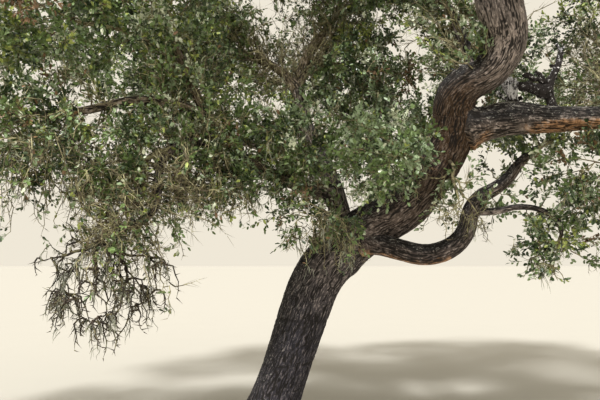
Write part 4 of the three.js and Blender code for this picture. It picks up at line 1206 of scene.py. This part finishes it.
# The shader nodes of the finishes: Blender's name, the settings, the output that is taken, and the sockets
# that the inputs go to in turn.
NODES = {
    "place": ("TexCoord", {}, "Object", []),
    "height": ("SeparateXYZ", {}, "Z", [0]),
    "stored": ("Attribute", {}, "Fac", []),
    "grain": ("Attribute", {"attribute_name": "grain"}, "Vector", []),
    "noise": ("TexNoise", {}, 0, ["Vector", "Scale", "Detail", "Roughness"]),
    "range": ("MapRange", {"interpolation_type": "SMOOTHSTEP"}, 0, [0, 1, 2, 3, 4]),
    "mix": ("Mix", {"data_type": "RGBA"}, 2, [0, 6, 7]),
    "tint": ("Mix", {"data_type": "RGBA", "blend_type": "MULTIPLY"}, 2, [0, 6, 7]),
    "sum": ("Math", {"operation": "ADD"}, 0, [0, 1]),
    "product": ("Math", {"operation": "MULTIPLY"}, 0, [0, 1]),
    "larger": ("Math", {"operation": "MAXIMUM"}, 0, [0, 1]),
    "relief": ("Bump", {}, 0, ["Height", "Strength", "Distance"]),
    "shader": ("BsdfPrincipled", {}, 0,
               ["Base Color", "Roughness", "Specular IOR Level", "Sheen Weight", "Normal"]),
    "surface": ("OutputMaterial", {}, None, ["Surface"]),
}


def add_node(tree, kind, *inputs, **settings):
    """Adds a node with its settings. Each input is a value, the output that feeds it, or None to leave it."""
    blender_name, usual, output, sockets = NODES[kind]
    node = tree.nodes.new(f"ShaderNode{blender_name}")
    for key, value in {**usual, **settings}.items():
        setattr(node, key, value)
    for socket, value in zip((node.inputs[key] for key in sockets), inputs):
        if isinstance(value, bpy.types.NodeSocket):
            tree.links.new(value, socket)
        elif value is not None:
            socket.default_value = (*value, 1) if socket.type == "RGBA" else value
    return None if output is None else node.outputs[output]


STORED = ("furrow", "bare", "upper", "dark")  # what a bark's mesh stores at each point for its finish


def new_finish(name):
    """An empty material, and what adds nodes to it."""
    material = bpy.data.materials.new(name)
    material.use_nodes = True
    material.node_tree.nodes.clear()
    return material, partial(add_node, material.node_tree)


def scale_of(millimetres):
    """A texture's scale, per metre, for features of a real size."""
    return 1 / (millimetres * MM)


def dimmed(tint, share):
    """A colour made darker or lighter by a share."""
    return tuple(min(channel * share, 1) for channel in tint)


def fissured_bark(colours):
    """Old oak bark, weathered in place: fibrous grey-brown ridges with furrows between them darkened by
    painted shade. The trunk's foot wears painted blue-grey shade, and the bark round the leader's bend
    painted brown shade. The boughs' upper sides are charcoal with pale crust lichen; the pale crests and the
    streaks along the tops are partly painted highlight. Where the outer bark has come away under a bough, the
    under-bark shows orange-brown. It is dull and dusty all over."""
    material, add = new_finish("fissured_oak_bark")
    place, grain = add("place"), add("grain")
    height = add("height", place)
    furrow, bare, upper, dark = (add("stored", attribute_name=name) for name in STORED)
    broad = add("noise", place, scale_of(420), 3, 0.6)
    patch = add("noise", place, scale_of(95), 4, 0.6)
    fleck = add("noise", place, scale_of(25), 5, 0.7)
    fibre = add("noise", grain, scale_of(17), 6, 0.75)
    # The zones, from the ridges' own grey to what lies over it in places.
    zone = add("mix", add("range", patch, 0.35, 0.65), dimmed(colours.ridge, 0.75), colours.ridge)
    zone = add("mix", add("range", broad, 0.45, 0.62, 0, 0.4), zone, colours.char)
    # Painted brown shade where the limb's table lays it, broken up by patches.
    zone = add("mix", add("sum", dark, add("range", patch, 0.2, 0.8, -0.2, 0.2)), zone, colours.shaded_umber)
    zone = add("mix", add("range", dark, -0.1, -0.8, 0, 0.85), zone, colours.twig)
    # Painted shade: the trunk darker and bluer towards its foot.
    zone = add("mix", add("range", height, 0.9, 2.8, 0.92, 0.1), zone, colours.foot)
    above = add("product", add("range", upper, -0.2, 0.5), add("range", patch, 0.25, 0.6, 0.6, 1))
    zone = add("mix", above, zone, colours.char)
    under = add("product", bare, add("range", broad, 0.3, 0.6, 0.6, 1))
    under = add("sum", under, add("range", patch, 0.2, 0.8, -0.15, 0.15))
    zone = add("mix", add("range", under, 0.15, 0.45), zone, colours.bared)
    zone = add("tint", 1, zone, add("range", fibre, 0.32, 0.68, 0.42, 1.45))
    # Pale worn crests and top streaks, both partly painted highlight, crust lichen, then the furrows' painted
    # shade.
    crest = add("range", add("noise", grain, scale_of(17), 5, 0.7), 0.53, 0.63, 0, 0.6)
    for where, *reach in ((height, 0.8, 2.2, 0.3, 1), (dark, 0.2, 0.9, 1, 0.35), (upper, 0.1, 0.5, 1, 0.3)):
        crest = add("product", crest, add("range", where, *reach))
    zone = add("mix", crest, zone, colours.crest)
    crust = add("product", add("range", fleck, 0.57, 0.65), add("range", upper, -0.2, 0.6, 0.1, 0.7))
    worn_and_lit = add("range", add("noise", grain, scale_of(16), 4, 0.6), 0.55, 0.62, 0, 0.85)
    worn_and_lit = add("product", worn_and_lit, add("range", upper, 0.6, 1.1))
    zone = add("mix", add("larger", crust, worn_and_lit), zone, colours.crust)
    shade = add("larger", add("range", furrow, 0.2, 0.62, 0, 0.93), add("range", fibre, 0.3, 0.42, 0.7, 0))
    zone = add("mix", shade, zone, colours.furrow)
    normal = add("relief", add("mix", 0.35, fibre, fleck), 0.9, 0.01)
    add("surface", add("shader", zone, add("range", fleck, 0.2, 0.8, 0.82, 0.98), 0.25, None, normal))
    return material


def weathered_dead_wood(colours):
    """Dead oak wood that has lost its bark: dark at the foot, bleached silver-grey by the
    sun towards the broken tip, with white crust in flecks and dark checks along the grain."""
    material, add = new_finish("weathered_dead_wood")
    fibre = add("noise", add("grain"), scale_of(24), 5, 0.7)
    patch = add("noise", add("place"), scale_of(34), 5, 0.75)
    bleach = add("sum", add("stored", attribute_name="bare"), add("range", patch, 0.32, 0.68, -0.7, 0.7))
    wood = add("mix", add("range", bleach, 0.25, 0.45), colours.dead_dark, colours.dead)
    wood = add("mix", add("range", fibre, 0.5, 0.56, 0, 0.95), wood, dimmed(colours.dead_dark, 0.6))
    dull = add("range", fibre, 0.3, 0.7, 0.72, 0.95)
    add("surface", add("shader", wood, dull, 0.3, None, add("relief", fibre, 0.7, 0.005)))
    return material


def twig_bark(name, wood, lichen, crusted, bare):
    """Twig bark, smooth and grey-tan, darker in broad patches of painted dappled shade, crusted with
    grey-green lichen in patches that catch the light. Twigs that hang low are darker and bear less of the
    crust."""
    material, add = new_finish(name)
    place = add("place")
    dark_patch = add("noise", place, scale_of(260), 2, 0.6)
    patch = add("noise", place, scale_of(60), 3, 0.6)
    speck = add("noise", place, scale_of(12), 3, 0.6)
    bark = add("mix", add("range", speck, 0.35, 0.65), dimmed(wood, 0.4), wood)
    # Painted dappled shade: broad patches of darker bark.
    bark = add("mix", add("range", dark_patch, 0.44, 0.6, 0.8, 0), bark, dimmed(wood, 0.25))
    bark = add("mix", add("range", patch, bare, bare + 0.12, 0, crusted), bark, lichen)
    dull = add("range", patch, 0.4, 0.6, 0.7, 0.95)
    add("surface", add("shader", bark, dull, None, None, add("relief", speck, 0.5, 0.003)))
    return material


def oak_leaf(tone, tint):
    """A leathery live leaf of one tone: a waxy upper face with a soft gleam, and faint veins in relief."""
    material, add = new_finish(f"oak_leaf_{tone}")
    vein = add("noise", add("place"), scale_of(14), 2, 0.6)
    blush = add("mix", add("range", vein, 0.3, 0.7), dimmed(tint, 0.8), dimmed(tint, 1.15))
    gleam = add("range", vein, 0.3, 0.7, 0.28, 0.45)
    add("surface", add("shader", blush, gleam, 0.5, None, add("relief", vein, 0.35, 0.002)))
    return material


def lace_lichen(colours):
    """Lace lichen, a dry grey-green net that hangs from twigs and looks soft because it scatters light."""
    material, add = new_finish("lace_lichen")
    place = add("place")
    speck = add("noise", place, scale_of(16), 3, 0.6)
    dark_patch = add("noise", place, scale_of(170), 3, 0.6)
    # Darker and lighter specks; the lighter ones are partly painted glints.
    pale = add("mix", add("range", speck, 0.3, 0.7), dimmed(colours.lace, 0.6), dimmed(colours.lace, 1.15))
    pale = add("mix", add("range", dark_patch, 0.42, 0.6, 0.85, 0), pale, dimmed(colours.lace, 0.3))
    add("surface", add("shader", pale, 0.95, None, 0.25, add("relief", speck, 0.5, 0.003)))
    return material


def matt_floor(colours):
    """A plain pale studio floor, rolled matt paint with a very faint mottle."""
    material, add = new_finish("matt_studio_floor")
    mottle = add("noise", add("place"), scale_of(900), 2, 0.6)
    paint = add("mix", mottle, dimmed(colours.floor, 0.97), colours.floor)
    add("surface", add("shader", paint, 0.9))
    return material


made = {}  # what several operators share: the crown's growth and the finishes


def crown():
    if "crown" not in made:
        made["crown"] = Crown()
    return made["crown"]


def finish_of(name, maker, *values):
    if name not in made:
        made[name] = maker(*values)
    return made[name]


def bark_piece(name, limbs, sheets, material):
    """One piece of bark or bare wood from the meshes of its limbs."""
    starts = np.cumsum([0, *[len(sheet.points) for sheet in sheets]])
    quads = np.concatenate([sheet.quads + start for sheet, start in zip(sheets, starts)])
    triangles = np.concatenate([sheet.triangles + start for sheet, start in zip(sheets, starts)])
    grain = np.concatenate([sheet.grain for sheet in sheets]) * MM
    fibre = np.stack([grain[:, 0], grain[:, 1] + grain[:, 2] * GOLDEN, grain[:, 3] / GRAIN_STRETCH], axis=1)
    values = {key: ("FLOAT", np.concatenate([getattr(sheet, key) for sheet in sheets]))
              for key in STORED}
    values["grain"] = ("FLOAT_VECTOR", fibre)
    points = np.concatenate([sheet.points for sheet in sheets])
    return make_piece(name, points, [quads, triangles], [material], limbs, True, None, values)


class OAK_OT_bark(bpy.types.Operator):
    """Covers the trunk, the leader and the boughs with fissured bark"""

    bl_idname = "oak.bark"
    bl_label = "Bark"

    def execute(self, context):
        bark = finish_of("bark", fissured_bark, context.scene.oak_colours)
        for name, (limbs, spacing) in BARK_GROUPS.items():
            sheets = [limb_mesh(crown().limbs[limb], spacing) for limb in limbs]
            bark_piece(name, limbs, sheets, bark)
        return {"FINISHED"}


def snag_sheet():
    """The snags and splinters of the dead stubs, as one more mesh for their piece."""
    chance = np.random.default_rng(SEED + SNAG_SEED)
    paths, bare = [], []
    steps = np.linspace(0, 1, SNAG_POINTS)[:, None]
    for name, share, way, length, _ in SNAGS:
        limb = crown().limbs[name]
        stray = around_zero(chance, SNAG_STRAY, (SNAG_POINTS, 3)) * length * (steps > 0)
        paths.append(on_axis(limb, share)[0] + heading(*way) * steps * length + stray)
        bare.append(told_along(BLEACHED, limb, share))
    thick = np.array([snag[-1] for snag in SNAGS], float)
    points, faces = tubes(np.array(paths), thick, thick * SNAG_TIP, SNAG_SIDES)
    points = points + around_zero(chance, 1, points.shape) * SNAG_ROUGHNESS * MM
    bare = np.repeat(bare, len(points) // len(paths))
    grain = np.hstack([points / MM, np.zeros((len(points), 1))])
    return SimpleNamespace(points=points, quads=np.zeros((0, 4), int), triangles=faces, furrow=0 * bare,
                           bare=bare, upper=0 * bare, dark=0 * bare, grain=grain)


class OAK_OT_dead_stubs(bpy.types.Operator):
    """Makes the two dead, weathered stubs with their broken tips and snags"""

    bl_idname = "oak.dead_stubs"
    bl_label = "Dead stubs"

    def execute(self, context):
        wood = finish_of("wood", weathered_dead_wood, context.scene.oak_colours)
        sheets = [limb_mesh(crown().limbs[limb], DEAD_SPACING, True) for limb in DEAD_GROUP]
        bark_piece("dead_stub_wood", DEAD_GROUP, [*sheets, snag_sheet()], wood)
        return {"FINISHED"}


def sprouts_of(group):
    """Twigs that sprout from the limbs' own bark, outwards and up to the light, as growth for a mass."""
    fine = []
    for number, (name, (count, first, longest)) in enumerate(SPROUTS[group].items()):
        limb = crown().limbs[name]
        chance = np.random.default_rng(SEED + SPROUT_SEED + limb.length + number)
        share = chance.uniform(first, 1, count)
        at, way, normal = on_axis(limb, share)
        angle = any_turn(chance, count)[:, None]
        out = normal * np.cos(angle) - np.cross(way, normal) * np.sin(angle)
        start = at + out * radius_at(limb, share)[:, None] * SPROUT_START
        reach = chance.uniform(SHORTEST_SPROUT, longest, count)
        stray = around_zero(chance, SPROUT_STRAY, (count, 3))
        course = unit(out + way * SPROUT_LEAN + UP * SPROUT_LIFT + stray)
        paths = curved(start, out, course, reach, chance)
        leafy = chance.uniform(0, 1, count) >= BARE_SHARE.get(name, 0)
        clear = crown().clear_of_limbs(paths[:, -1], FINE_CLEARANCE)
        if name in SPROUT_SIDE:
            side, least = SPROUT_SIDE[name]
            clear = clear & (out @ np.array(side) > least)
        paths, reach, leafy = paths[clear], reach[clear], leafy[clear]
        spray = np.arange(len(paths)) // SPROUTS_IN_SPRAY
        twigs = [(paths, reach, spray, leafy)]
        bare, count = ~leafy, np.count_nonzero(~leafy)
        for side_share in SIDE_HOLDS:
            at, way = paths_along(paths[bare], side_share + around_zero(chance, SIDE_STRAY, count))
            course = unit(way * SIDE_LEAN + spun(way, any_turn(chance, count)))
            side_reach = reach[bare] * chance.uniform(*SIDE_REACH, count)
            side = curved(at, way, course, side_reach, chance)
            twigs.append((side, side_reach, spray[bare], leafy[bare]))
        for path, length, own, leaves in (twig for several in twigs for twig in zip(*several)):
            thick = SPROUT_THICK[0] + SPROUT_THICK[1] * length
            fine.append(SimpleNamespace(path=path, thick=thick, thin=FINE_TIP, spray=own, leafy=leaves))
    return SimpleNamespace(main=[], fine=fine)


def curved(start, way, course, reach, chance):
    """Many twigs' paths at once: each leaves along its way, bends over to its course and strays a little."""
    shares = np.linspace(0, 1, FINE_POINTS)[:, None, None]
    reach = reach[:, None]
    paths = bezier(start, start + way * reach * BEND, start + course * reach, shares).transpose(1, 0, 2)
    stray = chance.uniform(-1, 1, paths.shape) * SPROUT_GNARL * reach[:, None]
    stray[:, 0] = 0
    return paths + stray


def in_box(points, _):
    """True where points are inside the CAD model's box."""
    low, high = np.array(CAD_BOX) / MM
    return ((points > low) & (points < high)).all(axis=-1)


def foliage_of(name, sizes):
    """A mass's or a group of sprouts' twigs, shoots and leaves, kept for the operators that share them."""
    key = f"foliage {name}"
    if key not in made:
        if name in SPROUTS:
            seed = SPROUT_MASS_SEED + list(SPROUTS).index(name)
            mass = SimpleNamespace(name=name, seed=seed, leaf=CROWN_GROUPS[name][1])
            growth, inside = sprouts_of(name), in_box
        else:
            mass = next(mass for mass in crown().masses if mass.name == name)
            growth, inside = crown().growth[name], lambda points, reach: depth_in(mass, points) <= reach
        chance = np.random.default_rng(SEED + mass.seed)
        shoots, owners = grow_shoots(growth, sizes, chance)
        leafy = np.array([twig.leafy for twig in growth.fine] + [True] * len(growth.main))
        leafy = leafy[owners[:, 0]]
        leaf_length = sizes.leaf_length * mass.leaf
        leaves = [grow_leaves(shoots[leafy], owners[leafy], leaf_length, sizes.leaves, chance)]
        hanging = grow_hanging(mass, growth, inside, chance)
        if hanging:
            bears_leaves = chance.uniform(0, 1, len(hanging.spurs)) < LEAFY_SPURS.get(name, USUAL_LEAFY_SPURS)
            spurs = hanging.spurs[bears_leaves]
            owners = np.repeat(chance.integers(0, owners.max() + 1, len(spurs))[:, None], 2, axis=1)
            leaves.append(grow_leaves(spurs, owners, leaf_length, SPUR_LEAVES, chance))
        places, ways, across, lengths, sprays = (np.concatenate(parts) for parts in zip(*leaves))
        tones = tones_of(mass, sprays, chance)
        batches = np.array_split(places, len(places) // BATCH + 1)
        clear = np.concatenate([crown().clear_of_limbs(batch, 0) for batch in batches])
        lowest = HANGING_TWIGS[name][2] if name in HANGING_TWIGS else 1
        kept = inside(places + ways * lengths[:, None], lowest) & clear
        for centre, radii in OPENINGS:
            kept &= np.linalg.norm((places - centre) / radii, axis=1) > 1
        made[key] = SimpleNamespace(
            growth=growth, shoots=shoots, tones=tones[kept], hanging=hanging,
            leaves=(places[kept], ways[kept], across[kept], lengths[kept]),
        )
    return made[key]


def foliage_in(group, sizes):
    """All the foliage of one group of masses: theirs, and that of the limbs' own sprouts."""
    return [foliage_of(name, sizes) for name in (*CROWN_GROUPS[group][2], group)]


def even_tubes(paths, radii, heavier=1):
    """Fine tubes that all have the same radii at root and tip."""
    thick, thin = radii
    return tubes(paths, np.full(len(paths), thick * heavier), np.full(len(paths), float(thin)), FINE_SIDES)


def twig_sets(foliage, leafless=False):
    """A mass's main twigs, fine twigs, shoots and hanging twigs as sets of points and faces."""
    heavier = HEAVIER if leafless else 1
    sets = [] if leafless else [even_tubes(foliage.shoots, SHOOT_RADII)]
    for twigs, sides in ((foliage.growth.main, MAIN_SIDES), (foliage.growth.fine, FINE_SIDES)):
        if twigs:
            path, thick, thin = (
                np.array([getattr(twig, key) for twig in twigs]) for key in ("path", "thick", "thin")
            )
            sets.append(tubes(path, thick * heavier, thin * heavier, sides))
    if foliage.hanging:
        sets.append(even_tubes(foliage.hanging.paths, HANGING_RADII, heavier))
        sets.append(even_tubes(foliage.hanging.spurs, SPUR_RADII, heavier))
    return sets


class OAK_OT_twigs(bpy.types.Operator):
    """Grows the crown's twigs on from the boughs"""

    bl_idname = "oak.twigs"
    bl_label = "Twigs"

    def execute(self, context):
        colours = context.scene.oak_colours
        tints = (colours.twig, colours.twig_lichen)
        bark = finish_of("twig", twig_bark, "lichened_twig_bark", *tints, *CROWN_CRUST)
        for group, (_, _, names) in CROWN_GROUPS.items():
            every = foliage_in(group, context.scene.oak_sizes)
            points, faces = joined([part for foliage in every for part in twig_sets(foliage)])
            make_piece(f"{group}_crown_twigs", points, [faces], [bark], names, True)
        return {"FINISHED"}


class OAK_OT_leaves(bpy.types.Operator):
    """Hangs the leaves on the crown's shoots, in tones dealt out by spray"""

    bl_idname = "oak.leaves"
    bl_label = "Leaves"

    def execute(self, context):
        colours = context.scene.oak_colours
        tones = [finish_of(f"leaf {tone}", oak_leaf, tone, getattr(colours, tone)) for tone in TONES]
        for group, (_, _, names) in CROWN_GROUPS.items():
            every = foliage_in(group, context.scene.oak_sizes)
            points, faces = joined([leaf_mesh(*foliage.leaves) for foliage in every])
            tone = np.repeat(np.concatenate([foliage.tones for foliage in every]), len(LEAF_FACES))
            make_piece(f"{group}_crown_leaves", points, [faces], tones, names, False, tone)
        return {"FINISHED"}


def lichen_strands(paths, sizes, chance):
    """Strands of lichen that hang in a few tufts from the draped ones of some twigs."""
    draped = paths[chance.uniform(0, 1, len(paths)) < DRAPED]
    count = len(draped)
    strands = []
    for _ in range(TUFTS):
        middle = chance.uniform(*TUFT_PLACES, count)
        longest = sizes.strand_length / MM * chance.uniform(*TUFT_LENGTHS, count) ** TUFT_POWER
        for _ in range(sizes.strands):
            at, _ = paths_along(draped, np.clip(middle + around_zero(chance, TUFT_WIDTH, count), 0, 1))
            length = longest * chance.uniform(*STRAND_LENGTHS, count)
            points = [at]
            for fall in STRAND_FALL:
                drift = unit(around_zero(chance, STRAND_DRIFT, (count, 3)) - UP * fall)
                stretch = length * chance.uniform(*STRAND_STRETCHES, count)
                points.append(points[-1] + drift * stretch[:, None])
            strands.append(np.stack(points, axis=1))
    return np.concatenate(strands)


class OAK_OT_lichen(bpy.types.Operator):
    """Grows the leafless twigs at the lower left, and the lace lichen that hangs from twigs all over"""

    bl_idname = "oak.lichen"
    bl_label = "Lichen twigs"

    def execute(self, context):
        colours, sizes = context.scene.oak_colours, context.scene.oak_sizes
        tints = (colours.low_twig, colours.twig_lichen)
        bark = finish_of("low twig", twig_bark, "damp_twig_bark", *tints, *LOW_CRUST)
        lace = finish_of("lace", lace_lichen, colours)
        foliage = foliage_of(LICHEN_MASS, sizes)
        points, faces = joined(twig_sets(foliage, True))
        make_piece("drooping_lichen_twigs", points, [faces], [bark], [LICHEN_MASS], True)
        chance = np.random.default_rng(SEED + LICHEN_SEED)
        twigs = {"hanging": foliage.hanging.paths}
        for kind in ("fine", "main"):
            twigs[kind] = np.array([twig.path for twig in getattr(foliage.growth, kind)])
        low = [lichen_strands(twigs[kind], sizes, chance)
               for kind, times in LOW_BEARERS.items() for _ in range(times)]
        points, faces = even_tubes(np.concatenate(low), LOW_LACE_RADII)
        make_piece("lace_lichen_tufts", points, [faces], [lace], [LICHEN_MASS])
        high = [lichen_strands(foliage_of(name, sizes).hanging.paths, sizes, chance)
                for name in HANGING_TWIGS if name != LICHEN_MASS]
        points, faces = even_tubes(np.concatenate(high), HIGH_LACE_RADII)
        make_piece("crown_lichen_tufts", points, [faces], [lace])
        return {"FINISHED"}


# The camera stands where the photograph was taken from, at eye height in front of the tree.
CAMERA_AT = (0.366, -6.88, 1.80)
CAMERA_RISE = 5.9  # degrees above level
CAMERA_LENS = SENSOR_WIDTH = 36  # millimetres
FLOOR_SIZE = 500
SUN = ("key_light", (-14, -27, 43), 9, 5.4)  # name, where it shines from, degrees across, strength
FILL = ("fill_light", (27, -27, 15), 20, 1800)  # name, place, metres across, watts
LAMPS_AIM = (0.8, 0, 3)
SKY_STRENGTH = 0.97


def hang_lamp(lamp, at):
    """Puts a lamp in its place, turned towards the tree."""
    holder = bpy.data.objects.new(lamp.name, lamp)
    way = np.array(LAMPS_AIM) - np.array(at)
    holder.location = at
    holder.rotation_euler = (math.atan2(math.hypot(way[0], way[1]), -way[2]), 0, math.atan2(-way[0], way[1]))
    bpy.context.scene.collection.objects.link(holder)


class OAK_OT_stage(bpy.types.Operator):
    """Sets the plain pale floor, the soft lights and the camera"""

    bl_idname = "oak.stage"
    bl_label = "Stage"

    def execute(self, context):
        mesh = bpy.data.meshes.new("studio_floor")
        half = FLOOR_SIZE / 2
        corners = [(-half, -half, 0), (half, -half, 0), (half, half, 0), (-half, half, 0)]
        mesh.from_pydata(corners, [], [(0, 1, 2, 3)])
        mesh.materials.append(finish_of("floor", matt_floor, context.scene.oak_colours))
        floor = bpy.data.objects.new("studio_floor", mesh)
        context.scene.collection.objects.link(floor)
        name, at, degrees, strength = SUN
        sun = bpy.data.lights.new(name, "SUN")
        sun.angle = math.radians(degrees)
        sun.energy = strength
        hang_lamp(sun, at)
        name, at, across, watts = FILL
        fill = bpy.data.lights.new(name, "AREA")
        fill.shape = "DISK"
        fill.size = across
        fill.energy = watts
        hang_lamp(fill, at)
        world = bpy.data.worlds.new("studio_sky")
        world.use_nodes = True
        sky = world.node_tree.nodes["Background"]
        sky.inputs["Color"].default_value = (*context.scene.oak_colours.sky, 1)
        sky.inputs["Strength"].default_value = SKY_STRENGTH
        context.scene.world = world
        eye = bpy.data.cameras.new("camera")
        eye.lens = CAMERA_LENS
        eye.sensor_width = SENSOR_WIDTH
        eye.clip_end = 2 * FLOOR_SIZE
        camera = bpy.data.objects.new("camera", eye)
        camera.location = CAMERA_AT
        camera.rotation_euler = (math.radians(90 + CAMERA_RISE), 0, 0)
        context.scene.collection.objects.link(camera)
        context.scene.camera = camera
        context.scene.view_settings.view_transform = "Standard"
        return {"FINISHED"}


class OAK_PT_panel(bpy.types.Panel):
    """The oak's pieces, sizes and colours"""

    bl_label = "Oak"
    bl_idname = "OAK_PT_panel"
    bl_space_type = "VIEW_3D"
    bl_region_type = "UI"
    bl_category = "Oak"

    def draw(self, context):
        column = self.layout.column()
        for operator in OPERATORS:
            column.operator(operator.bl_idname)
        for group, settings in ((OakSizes, context.scene.oak_sizes), (OakColours, context.scene.oak_colours)):
            for key in group.__annotations__:
                column.prop(settings, key)


OPERATORS = [OAK_OT_bark, OAK_OT_dead_stubs, OAK_OT_twigs, OAK_OT_leaves, OAK_OT_lichen, OAK_OT_stage]
CLASSES = [OakSizes, OakColours, *OPERATORS, OAK_PT_panel]


def register():
    for one in CLASSES:
        bpy.utils.register_class(one)
    bpy.types.Scene.oak_sizes = PointerProperty(type=OakSizes)
    bpy.types.Scene.oak_colours = PointerProperty(type=OakColours)


def unregister():
    del bpy.types.Scene.oak_colours
    del bpy.types.Scene.oak_sizes
    for one in reversed(CLASSES):
        bpy.utils.unregister_class(one)


def main():
    register()
    bpy.ops.oak.bark()
    bpy.ops.oak.dead_stubs()
    bpy.ops.oak.twigs()
    bpy.ops.oak.leaves()
    bpy.ops.oak.lichen()
    bpy.ops.oak.stage()
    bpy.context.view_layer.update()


if __name__ == "__main__":
    main()
